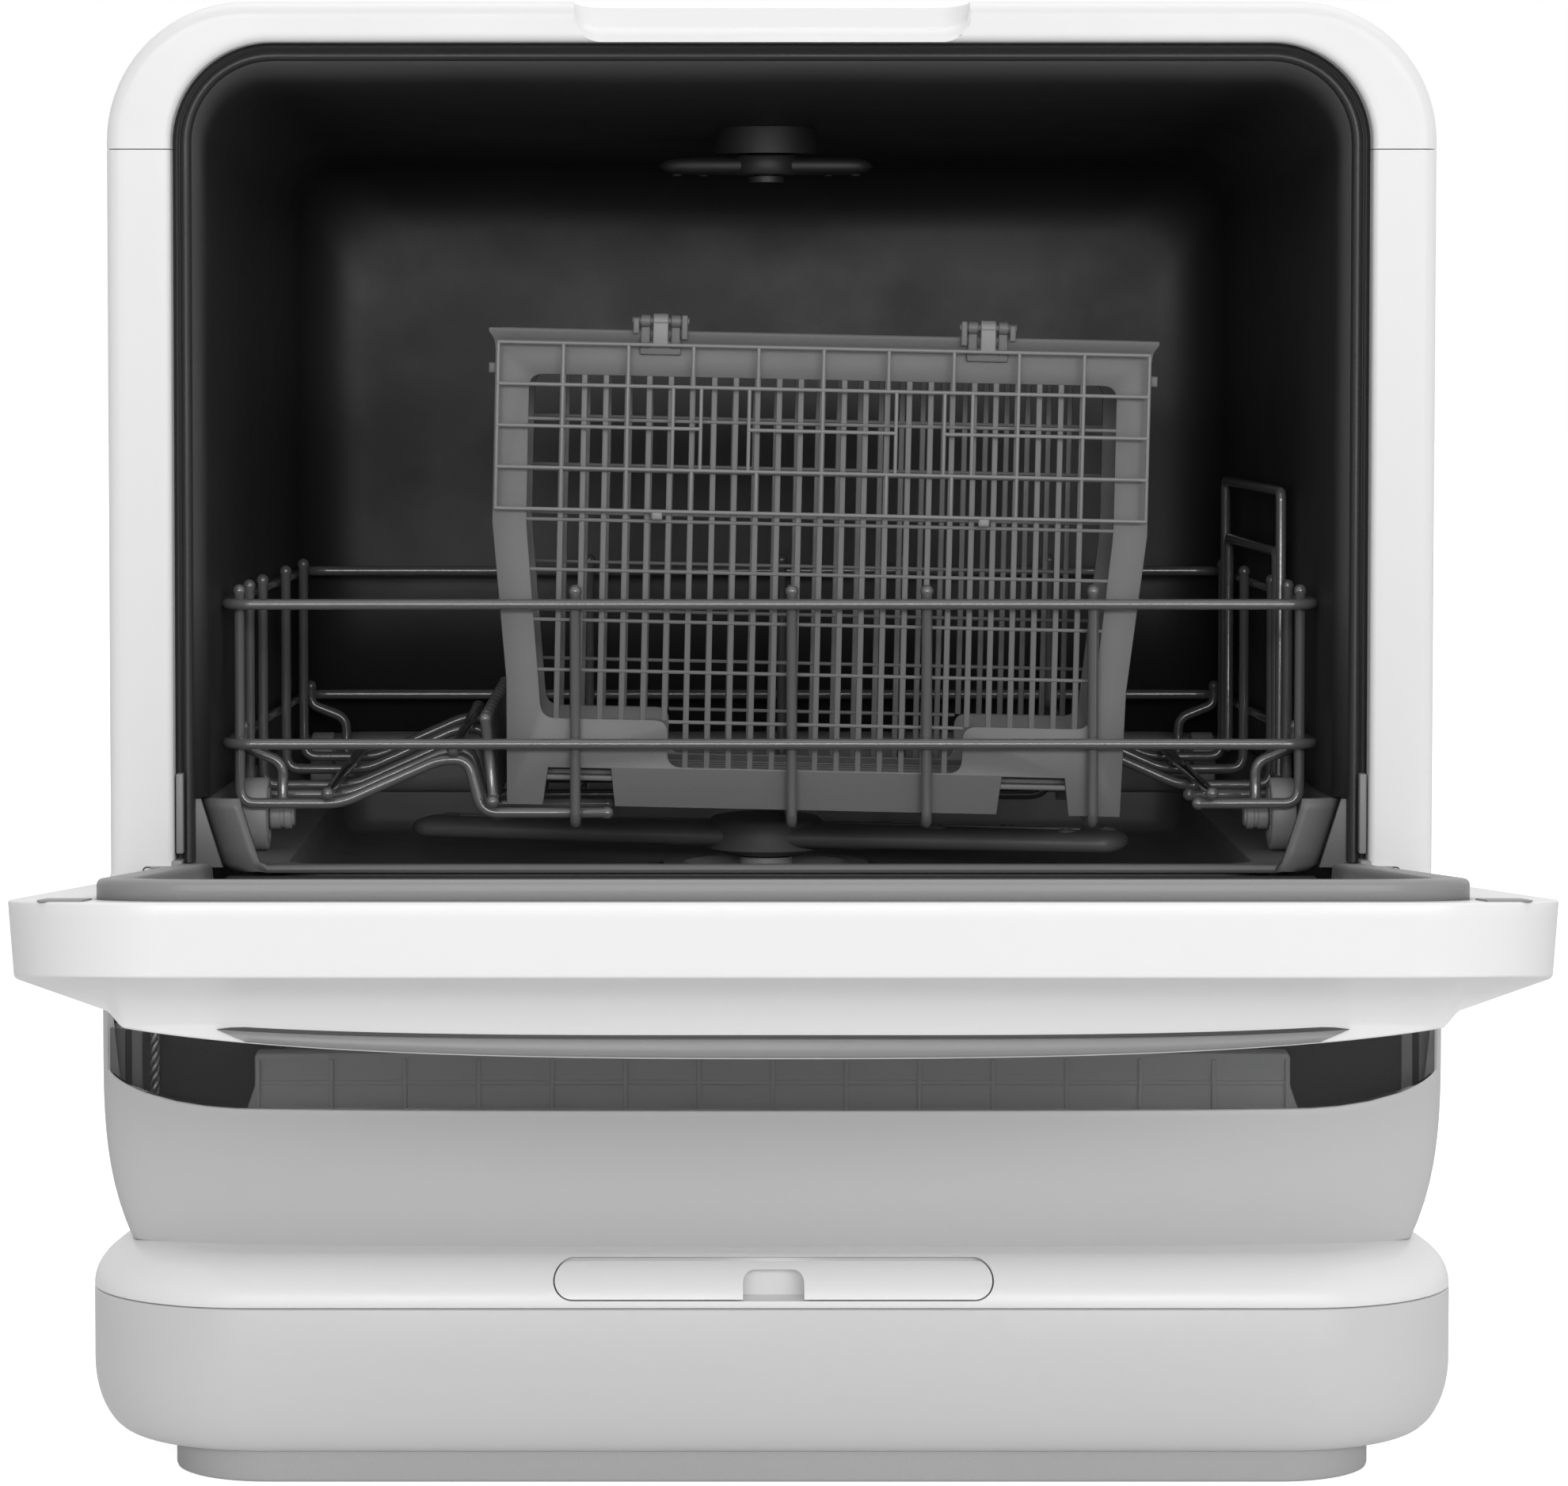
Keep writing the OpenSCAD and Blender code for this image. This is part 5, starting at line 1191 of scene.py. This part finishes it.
def shell_form():
    """Front and rear walls with their windows and notched feet, the side walls, the ribbed floor, the flared rim and
    a small lug at each side."""
    y0, y1, wall = BASKET_FRONT, BASKET_FRONT + BASKET_DEPTH, 1.8
    right = np.array([(98.0, 0), (99.0, 40), (BASKET_HALF, 90), (BASKET_HALF, BASKET_TOP)])
    outline = notched([(-86.5, -63.5), (58.5, 81.5)], np.vstack([right, (right * (-1, 1))[::-1]]), 12)
    shell = plate([outline, window_outline()], y0, y0 + wall, 0.4)
    shell.add(plate([outline, window_outline()], y1 - wall, y1, 0.4))
    side = np.array([(98.0, 8.0), (98.0, 20.0), (99.0, 40.0), (101.7, 66.0), (BASKET_HALF, 90.0),
                     (BASKET_HALF, BASKET_TOP)])
    loop = np.vstack([side, (side - (wall, 0))[::-1]])
    shell.both_sides(prism(loop, y0 + wall, y1 - wall))
    shell.add(soft_box((-97, y0 + 1, 8), (97, y1 - 1, 9.8), 0.5))
    for y in np.linspace(y0 + 8, y1 - 8, 6):
        shell.add(soft_box((-96, y - 0.8, 9.4), (96, y + 0.8, 11.4), 0.5))
    flare = [(0.0, 145.6), (0.1, 147.0), (0.5, 148.6), (2.0, 150.8), (2.1, 151.8), (1.8, 152.1), (0.6, 152.1),
             (0.3, 151.8), (0.1, 151.0), (-1.2, 149.0), (-1.8, 147.0), (-1.9, 145.6)]
    out = np.array([(1, -1), (1, 1), (-1, 1), (-1, -1)])
    corner = np.array([(BASKET_HALF * x, y0 + 0.02 if y < 0 else y1 - 0.02) for x, y in out])
    rim = Form()
    rim.grid(np.stack([level(corner + out * i, z) for i, z in flare], 1), wrap_u=True, wrap_v=True)
    shell.add(rim)
    return shell.both_sides(soft_box((104, y0 + 1.0, 137.5), (106.6, y0 + 4.4, 141), 0.5))


def hinge_forms(y, z):
    """Basket's half of its two hinges, on the axis at y and z, and the sleeves of the lid's half."""
    knuckle = [(0, 0), (0, 1.7), (0.3, 2.0), (2.9, 2.0), (3.2, 1.7), (3.2, 0)]
    hinges, sleeves = Form(), Form()
    for x, inner in ((-LUG_X, 1), (LUG_X, -1)):
        for at in (x - 6.4, x + 3.2):
            hinges.add(lathe(knuckle, (at, y, z), (1, 0, 0), 24))
            hinges.add(soft_box((at, y + 0.2, 146.5), (at + 3.2, BASKET_FRONT + 0.8, z + 0.6), 0.5))
        hinges.add(lathe([(0, 0), (0, 1.2), (18, 1.2), (18, 0)], (x - 9, y, z), (1, 0, 0), 20))
        for at, rise, low in ((x + 7.6 * inner, 2.0, 149.4), (x - 7.8 * inner, 0.9, 151.0)):
            hinges.add(soft_box((at - 1.0, y - 1.7, low), (at + 1.0, BASKET_FRONT + 0.4, z + rise), 0.5))
        hinges.add(soft_box((x - 6.6, BASKET_FRONT - 1.5, 144.4), (x + 6.6, BASKET_FRONT + 0.4, 149.0), 0.5))
        sleeves.add(lathe([(0, 1.27), (0, 2.1), (0.3, 2.4), (4.5, 2.4), (4.8, 2.1), (4.8, 1.27)], (x - 2.4, y, z),
                          (1, 0, 0), 28, closed=True))
        sleeves.add(soft_box((x - 2.4, y - 2.7, z - 8), (x + 2.4, y - 1.4, z - 0.5), 0.4))
    return hinges, sleeves


def lid_bars(y, top):
    """Lid of round bars, ten cells by four, the cells in the middle rows set aside. A bar is given as its place and the
    first and last of the bars that it joins."""
    half, low, bar = 104.0, top - 54, 0.6
    rows = np.linspace(low + bar, top - bar, 5)
    form = Form()

    def across(k):
        """Place of the bar k, counted from the left."""
        return (k / 5 - 1) * (half - bar)

    uprights = [(k, 0, 4) for k in (0, 1, 2, 5, 8, 9, 10)] + [(k, n, n + 1) for k in (3, 4, 6, 7) for n in (0, 3)]
    uprights += [(k, 1, 3) for k in (2.7, 3.13, 3.87, 6.13, 6.87, 7.3)]
    for k, first, last in uprights:
        form.add(soft_box((across(k) - bar, y, rows[first] - bar), (across(k) + bar, y + 1.3, rows[last] + bar), 0.55))
    for n, k0, k1 in [(n, 0, 10) for n in (0, 1, 3, 4)] + [(2, 0, 3.13), (2, 3.87, 6.13), (2, 6.87, 10)]:
        form.add(soft_box((across(k0) - bar, y - 0.1, rows[n] - bar), (across(k1) + bar, y + 1.2, rows[n] + bar), 0.55))
    for x in (-LUG_X, LUG_X):
        form.add(soft_box((x - 1.8, y, low - 2.2), (x + 1.8, y + 1.4, low + 0.6), 0.7))
    return form


def basket_pieces(s):
    """Basket's shell, its two meshes, its hinges and its hanging lid, made upright and then leaned."""
    axis_y, axis_z = BASKET_FRONT - 2.6, 155.2
    bar = to_mm(s.mesh_bar)
    hinges, lid = hinge_forms(axis_y, axis_z)
    lid.add(lid_bars(axis_y - 2.7, axis_z - 7))
    for name, form, stands_for in (
            ("basket_body", shell_form(), "basket_shell"),
            ("basket_mesh_front", grid_form(BASKET_FRONT + 0.15, bar), "basket_front_grid"),
            ("basket_mesh_rear", grid_form(BASKET_FRONT + BASKET_DEPTH - 1.7, bar), "basket_rear_grid"),
            ("basket_hinges_round", hinges, "basket_hinges")):
        finish_piece(name, Form().add(form, leaned), "basket", stands_for, "basket", 42)
    # the lid's lighter grey is painted light: it is the basket's plastic
    finish_piece("basket_lid_mesh", Form().add(lid, leaned), "lid", "basket_lid", "basket_lid", 42)


# ---------- spray arms ----------


def blade_form(u, reach, wide, tall, z):
    """Flat blade along X, closed at both ends: each section is (wide*c^0.6, tall*s^0.8) for the cosine c and the sine
    s of an angle, both with their signs."""
    a = np.radians(np.linspace(0, 360, 36, endpoint=False))
    c, n = np.sign(np.cos(a)) * np.abs(np.cos(a)) ** 0.6, np.sign(np.sin(a)) * np.abs(np.sin(a)) ** 0.8
    return swept(np.stack([np.broadcast_to(u[:, None] * reach, (len(u), 36)), wide[:, None] * c[None],
                           z + tall[:, None] * n[None]], -1), True)


def arm_pieces(s):
    """Lower arm with rounded ends, hub, nozzles and ridges, turned by 14 degrees, and the small upper arm."""
    end = 0.06 * (1 - np.cos(np.radians(np.linspace(0, 90, 8))))
    u = np.concatenate([end - 1, np.linspace(-0.92, 0.92, 45), 1 - end[::-1]])
    taper = np.maximum(np.sqrt(np.clip(1 - ((np.abs(u) - 0.94).clip(0) / 0.06) ** 2, 0, 1)), 0.02)
    arm = blade_form(u, 124.0, mix(17.0, 12.0, np.abs(u)) * taper, 4.3 * taper * mix(1.0, 0.85, np.abs(u)), ARM_Z)
    hub = [(0, 5.06), (0, 14), (0.6, 17), (2, 19.5), (5, 20), (11, 19.4), (12.6, 17.6), (13.4, 13), (13.7, 10),
           (14, 9.4), (14, 5.06)]
    arm.add(lathe(hub, (0, 0, 173), (0, 0, 1), 56, closed=True))
    nozzle = [(0, 0), (0, 3.4), (0.8, 3.1), (1.3, 2.2), (1.3, 1.2), (0.5, 1.1), (0.5, 0)]
    for k, x in enumerate((-112, -92, -70, -48, 40, 60, 82, 104, 116)):
        arm.add(lathe(nozzle, (x, 5.0 * (-1) ** k, 182.9 - abs(x) * 0.004), (0, 0, 1), 20))
    for x0, x1 in ((-108, -26), (26, 108)):
        arm.add(soft_box((x0, -0.9, 182.6), (x1, 0.9, 184.0), 0.6))
    arm = Form().add(arm, lambda p: np.stack([*turned(p[:, 0], p[:, 1], -14), p[:, 2]], -1))
    finish_piece("lower_arm_blade", arm, "basin", "lower_spray_arm", "lower_arm", 45)
    z0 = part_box("upper_spray_arm")[0].z / MM + 3
    u = np.linspace(-1, 1, 31)
    taper = np.sqrt(np.clip(1 - u ** 8, 0.003, 1))
    arm = blade_form(u, 36, 7.0 * taper, 3.0 * taper, z0)
    arm.add(lathe([(0, 4.06), (0, 10.4), (0.6, 11), (5.9, 11), (6.5, 10.4), (6.5, 4.06)], (0, 0, z0 - 3), (0, 0, 1), 40,
                  closed=True))
    nozzle = [(0, 0), (0, 1.9), (0.7, 1.5), (0.7, 0.8), (0.2, 0.7), (0.2, 0)]
    for x in (-30, -21, 21, 30):
        arm.add(lathe(nozzle, (x, 0, z0 - 2.7), (0, 0, -1), 16))
    finish_piece("upper_arm_blade", arm, "hood", "upper_spray_arm", "upper_arm", 45)
    dress("hood", "upper_arm_boss")
    dress("part", "lower_arm_post", "filter_cup")


# ---------- back and connections ----------


def rear_form():
    """Back panel inside the casing's outline, with its vents and the openings for the connections."""
    z = np.linspace(BASE_TOP + BEND_H, BASE_TOP + 0.1, 14)
    bend = np.stack([203.1 - panel_bend(z), z], -1)
    outline = np.vstack([arch(203.1, 448.6, 40.1, BASE_TOP + BEND_H + 0.2, 2, 14)[0], bend, (bend * (-1, 1))[::-1]])
    c, n = full_turn(40)
    holes = [rounded_rect(i * 14 - 2, i * 14 + 2, 300, 360, 1.95, 6) for i in range(-6, 7)]
    holes += [np.stack([x + r * c, PIPE_Z + r * n], -1) for x, r in ((INLET_X, 13.5), (DRAIN_X, 9.8))]
    holes.append(rounded_rect(-164, -136, 85.5, 106.5, 2.0, 4))
    return plate([outline] + holes, BACK - 2.4, BACK - 0.05, 0.4)


def back_pieces(s):
    """Back panel, its screws, the inlet with a thread wound as a helix, and the barbed drain."""
    # pale finish: a paler white, partly painted shade meant for the base under the open door
    finish_piece("rear_panel", rear_form(), "pale", "back_panel", sharp=45)
    head = [(0, 0), (0, 3.5), (0.5, 3.5), (1.1, 3.0), (1.45, 2.2), (1.6, 1.4), (1.1, 1.3), (0.6, 0.7), (0.5, 0)]
    screws = [lathe(head, (x, BACK, z), (0, 1, 0), 28) for x in (-190, 190) for z in (160, 280, 400)]
    finish_piece("panel_screws", fit_all(screws), "steel", "back_screws", sharp=35)
    t = np.linspace(0, 1, 260)
    a = 2 * np.pi * 5.5 * t
    thread = np.stack([INLET_X + 12.7 * np.cos(a), 214.2 + 10.2 * t, PIPE_Z + 12.7 * np.sin(a)], -1)
    pipe = lathe([(-21, 8), (-21, 17.2), (-2.9, 17.2), (-2.9, 12.6), (13.2, 12.6), (13.9, 12.0), (14, 8.6), (13.4, 8)],
                 (INLET_X, BACK, PIPE_Z), (0, 1, 0), 48, closed=True)
    pipe.add(tube(thread, (0.1, 1, 0.1), 0.5, 6))
    finish_piece("threaded_inlet", pipe, "part", "water_inlet", sharp=40)
    barbs = [(at + 4.4 * k, r) for k in range(3) for at, r in ((0.6, 8.8), (0.8, 9.5), (4.6, 8.8))]
    drain = [(-21, 6.5), (-21, 13.4), (-2.9, 13.4), (-2.9, 8.8), *barbs, (14.0, 8.5), (14.0, 6.5)]
    finish_piece("barbed_drain", lathe(drain, (DRAIN_X, BACK, PIPE_Z), (0, 1, 0), 40, closed=True), "dark",
                 "drain_outlet", sharp=40)
    dress("dark", "power_inlet")


def inside_pieces(s):
    """Finishes of the nodes behind the panels, which keep their shapes."""
    dress("dark", "sump", "wash_pump", "drain_pump", "drying_fan")
    dress("part", "riser_pipe")
    dress("steel", "heater")
    dress("board", "control_board")


# ---------- studio ----------

CAMERA_AT = (-0.0214, -1.870, 0.3539)
CAMERA_TILT = 87.0
LENS, SHIFT_X, SHIFT_Y, FAR_CLIP = 127.2, 0.0519, -0.0859, 60.0
FLOOR_R = 14.0
WHITE = (1.0, 1.0, 1.0, 1.0)


def lamp(name, at, aim, width, height, power):
    """Rectangular soft light that faces a point."""
    data = bpy.data.lights.new(name, "AREA")
    data.shape = "RECTANGLE"
    data.size, data.size_y = width, height
    data.energy = power
    made = place_object(name, data)
    made.location = at
    made.rotation_euler = (Vector(aim) - Vector(at)).to_track_quat("-Z", "Y").to_euler()


def eased(tree, source, socket, start, end, low, high):
    """Smooth step from low to high as a value goes from start to end."""
    return node(tree, "MapRange", [("Value", source, socket)], interpolation_type="SMOOTHSTEP", From_Min=start,
                From_Max=end, To_Min=low, To_Max=high)


def glowing_floor(studio):
    """Pale floor that glows like a light table: the light it gives falls off with the distance from the middle by a
    smooth step, and seen directly it is lifted to white."""
    material = moulded_plastic("Studio floor", tuple(studio.floor), 0.7, 0.002, 0.02, 0.01, 0.0, 0.0, 0.1)
    tree = material.node_tree
    shader = tree.nodes["Principled BSDF"]
    away = node(tree, "VectorMath", [(0, node(tree, "TexCoord"), "Object")], operation="LENGTH")
    glow = eased(tree, away, "Value", 0.26, 0.5, studio.glow, studio.far_glow)
    seen = node(tree, "Mix", [("Factor", node(tree, "LightPath"), "Is Camera Ray"), ("A", glow, 0)], B=0.8)
    tree.links.new(seen.outputs["Result"], shader.inputs["Emission Strength"])
    shader.inputs["Emission Color"].default_value = WHITE
    return material


def surround(studio):
    """White surround: full for what is seen or mirrored. Otherwise it is dimmer, shaded low on the left, and falls off
    to the horizon's share at floor level."""
    world = bpy.data.worlds.new("Studio")
    world.use_nodes = True
    tree = world.node_tree
    sky = tree.nodes["Background"]
    sky.inputs["Color"].default_value = WHITE
    path = node(tree, "LightPath")
    seen = node(tree, "Math", [(0, path, "Is Camera Ray"), (1, path, "Is Glossy Ray")], operation="MAXIMUM")
    way = node(tree, "SeparateXYZ", [(0, node(tree, "TexCoord"), "Generated")])
    left = eased(tree, way, "X", -0.1, -0.8, 0.0, 1.0)
    low = eased(tree, way, "Z", 0.7, 0.25, 0.0, studio.shade)
    dim = node(tree, "MapRange", [("Value", times(tree, (left, 0), (low, 0)), 0)], To_Min=studio.sky, To_Max=0.0)
    lit = times(tree, (dim, 0), (eased(tree, way, "Z", 0.0, 0.22, studio.horizon, 1.0), 0))
    strength = node(tree, "Mix", [("Factor", seen, 0), ("A", lit, 0)], B=1.0)
    tree.links.new(strength.outputs["Result"], sky.inputs["Strength"])
    return world


def stage_pieces(studio):
    """Round floor, three lights, the surround and the camera."""
    c, n = full_turn(96)
    floor = Form()
    index = floor.grid(np.stack([np.stack([r * c, r * n, 0 * c], -1) / MM for r in (FLOOR_R, 0.5)]), wrap_v=True)
    floor.face(index[-1])
    ground = place_object("floor", floor.mesh("floor"))
    ground.data.materials.append(glowing_floor(studio))
    lamp("overhead", (0, 0.1, 2.4), (0, 0.0, 0.3), 2.6, 1.8, studio.overhead)
    lamp("key", (0.3, -3.2, 0.82), (0, -0.1, 0.12), 2.8, 0.5, studio.key)
    lamp("side", (2.2, -0.9, 0.4), (0, -0.2, 0.15), 1.2, 1.2, studio.side)
    data = bpy.data.cameras.new("camera")
    data.lens, data.shift_x, data.shift_y, data.clip_end = LENS, SHIFT_X, SHIFT_Y, FAR_CLIP
    camera = place_object("camera", data)
    camera.location = CAMERA_AT
    camera.rotation_euler = (np.radians(CAMERA_TILT), 0, 0)
    scene = bpy.context.scene
    scene.world = surround(studio)
    scene.camera = camera
    scene.view_settings.view_transform = "Standard"


# ---------- add-on ----------


def length(name, description, default, low, high):
    """Property for a length in metres."""
    return bpy.props.FloatProperty(name=name, description=description, default=default, min=low, max=high,
                                   unit="LENGTH", subtype="DISTANCE")


def colour(name, description, grey):
    """Property for a colour, a grey unless it is changed."""
    return bpy.props.FloatVectorProperty(name=name, description=description, default=(grey,) * 3, size=3, min=0.0,
                                         max=1.0, subtype="COLOR")


def share(name, description, default):
    """Property for a fraction."""
    return bpy.props.FloatProperty(name=name, description=description, default=default, min=0.0, max=1.0,
                                   subtype="FACTOR")


def strength(name, description, default, unit="NONE"):
    """Property for a brightness or a power."""
    return bpy.props.FloatProperty(name=name, description=description, default=default, min=0.0, unit=unit)


class DishwasherSizes(bpy.types.PropertyGroup):
    """Sizes a user would change without touching the frame."""

    edge: length("Casing edge", "Radius of the round along the casing's front edge", 0.004, 0.001, 0.008)
    dent_width: length("Dent width", "Width of the grip dent in the top cover", 0.122, 0.06, 0.18)
    dent_depth: length("Dent depth", "Depth of the grip dent at the front", 0.0085, 0.005, 0.009)
    flap_width: length("Flap width", "Width of the pill-shaped service flap", 0.132, 0.09, 0.16)
    grip_width: length("Grip width", "Width of the crescent under the door's grip", 0.302, 0.2, 0.34)
    door_edge: length("Door edge", "Radius of the round along the door's outline", 0.0008, 0.0004, 0.002)
    wire: length("Wire", "Diameter of the rack's coated wire", 0.0035, 0.003, 0.004)
    mesh_bar: length("Mesh bar", "Width of a bar in the basket's mesh", 0.0019, 0.001, 0.002)


class DishwasherFinishes(bpy.types.PropertyGroup):
    """Colours of the finishes, in scene-linear values."""

    casing: colour("Casing", "White of the casing and the door", 0.87)
    # base: a paler white than the casing, darkened further as painted shade under the open door
    base: colour("Base", "Slightly darker white of the base", 0.64)
    # panel: a darker copy of the base colour, painted shade under the open door
    panel: colour("Lower panel", "White of the panel under the door", 0.56)
    ear: colour("Ears", "Grey of the flanges beside the basin", 0.12)
    foot: colour("Foot", "Grey of the foot under the base", 0.44)
    tub: colour("Tub", "Near-black of the tub's hood", 0.023)
    basin: colour("Basin", "Dark grey of the tub's basin and the spray arm", 0.14)
    seal: colour("Seal", "Black of the rubber seals", 0.03)
    liner: colour("Liner", "Grey of the door's inner dish", 0.26)
    grip: colour("Grip", "Grey of the crescent under the grip", 0.24)
    part: colour("Small parts", "Grey of wheels and fittings", 0.34)
    # lid: the basket's grey made lighter as painted light on the lid's bars
    basket: colour("Basket", "Grey of the mesh basket", 0.16)
    lid: colour("Lid", "Grey of the basket's lid", 0.26)
    wire: colour("Wire", "Grey of the rack's coating", 0.14)
    tank: colour("Tank", "Grey of the ribbed tank behind the window", 0.62)
    steel: colour("Steel", "Colour of the metal parts", 0.5)
    window: colour("Window", "Tint of the smoked window", 0.6)


class DishwasherStudio(bpy.types.PropertyGroup):
    """Strength of the lights and the colour of the floor."""

    floor: colour("Floor", "Colour of the plain floor", 0.7)
    glow: strength("Floor glow", "Light that the floor gives off near the object", 0.18)
    far_glow: strength("Far glow", "Light that the floor gives off away from the object", 0.0)
    sky: strength("Surround", "Brightness of the white surround", 0.6)
    shade: share("Left shade", "Share of the surround taken away low on the left", 0.6)
    horizon: share("Horizon", "Share of the surround's brightness left at floor level", 0.25)
    overhead: strength("Overhead", "Power of the overhead light", 16.0, "POWER")
    key: strength("Key", "Power of the broad light in front", 39.0, "POWER")
    side: strength("Side", "Power of the light on the right", 1.2, "POWER")


class Maker:
    """Runs one function on the scene's sizes."""

    bl_options = {"REGISTER", "UNDO"}

    def execute(self, context):
        type(self).make(context.scene.dishwasher_sizes)
        return {"FINISHED"}


class DISHWASHER_OT_casing(Maker, bpy.types.Operator):
    """Top cover with its grip dent, and the two side panels"""

    bl_idname, bl_label, make = "dishwasher.casing", "Casing", casing_pieces


class DISHWASHER_OT_front(Maker, bpy.types.Operator):
    """Lower front panel, smoked window, ribbed tank and level hose"""

    bl_idname, bl_label, make = "dishwasher.front", "Lower front", front_pieces


class DISHWASHER_OT_base(Maker, bpy.types.Operator):
    """Base with its shoulder, service flap and foot"""

    bl_idname, bl_label, make = "dishwasher.base", "Base", base_pieces


class DISHWASHER_OT_tub(Maker, bpy.types.Operator):
    """Tub hood, basin and mouth seal"""

    bl_idname, bl_label, make = "dishwasher.tub", "Tub", tub_pieces


class DISHWASHER_OT_door(Maker, bpy.types.Operator):
    """Door shell, inner dish, grip crescent and hinges"""

    bl_idname, bl_label, make = "dishwasher.door", "Door", door_pieces


class DISHWASHER_OT_rack(Maker, bpy.types.Operator):
    """Wire rack"""

    bl_idname, bl_label, make = "dishwasher.rack", "Rack", rack_pieces


class DISHWASHER_OT_wheels(Maker, bpy.types.Operator):
    """Rack's four wheels and their hubs"""

    bl_idname, bl_label, make = "dishwasher.wheels", "Wheels", wheel_pieces


class DISHWASHER_OT_basket(Maker, bpy.types.Operator):
    """Mesh basket, its hinges and its lid"""

    bl_idname, bl_label, make = "dishwasher.basket", "Basket", basket_pieces


class DISHWASHER_OT_arms(Maker, bpy.types.Operator):
    """Lower and upper spray arms"""

    bl_idname, bl_label, make = "dishwasher.arms", "Spray arms", arm_pieces


class DISHWASHER_OT_back(Maker, bpy.types.Operator):
    """Back panel, its screws, and the water and power connections"""

    bl_idname, bl_label, make = "dishwasher.back", "Back", back_pieces


class DISHWASHER_OT_inside(Maker, bpy.types.Operator):
    """Finishes of the pumps, pipes and board inside"""

    bl_idname, bl_label, make = "dishwasher.inside", "Inside", inside_pieces


class DISHWASHER_OT_stage(bpy.types.Operator):
    """Floor, soft lights and camera"""

    bl_idname, bl_label = "dishwasher.stage", "Stage"

    def execute(self, context):
        stage_pieces(context.scene.dishwasher_studio)
        return {"FINISHED"}


STEPS = (DISHWASHER_OT_casing, DISHWASHER_OT_front, DISHWASHER_OT_base, DISHWASHER_OT_tub, DISHWASHER_OT_door,
         DISHWASHER_OT_rack, DISHWASHER_OT_wheels, DISHWASHER_OT_basket, DISHWASHER_OT_arms, DISHWASHER_OT_back,
         DISHWASHER_OT_inside, DISHWASHER_OT_stage)
GROUPS = {"dishwasher_sizes": DishwasherSizes, "dishwasher_finishes": DishwasherFinishes,
          "dishwasher_studio": DishwasherStudio}


class DISHWASHER_PT_panel(bpy.types.Panel):
    """Lists the steps, the sizes, the finishes and the studio's values"""

    bl_idname, bl_label = "DISHWASHER_PT_panel", "Dishwasher"
    bl_space_type, bl_region_type, bl_category = "VIEW_3D", "UI", "Dishwasher"

    def draw(self, context):
        for step in STEPS:
            self.layout.operator(step.bl_idname)
        for name in GROUPS:
            values, box = getattr(context.scene, name), self.layout.box()
            for key in type(values).__annotations__:
                box.prop(values, key)


CLASSES = (*GROUPS.values(), *STEPS, DISHWASHER_PT_panel)


def register():
    """Registers the classes and hangs the properties on the scene."""
    for kind in CLASSES:
        bpy.utils.register_class(kind)
    for name, kind in GROUPS.items():
        setattr(bpy.types.Scene, name, bpy.props.PointerProperty(type=kind))


def unregister():
    """Takes the properties and the classes away again."""
    for name in GROUPS:
        delattr(bpy.types.Scene, name)
    for kind in reversed(CLASSES):
        bpy.utils.unregister_class(kind)


def main():
    register()
    for step in STEPS:
        getattr(bpy.ops.dishwasher, step.bl_idname.split(".")[1])()


if __name__ == "__main__":
    main()
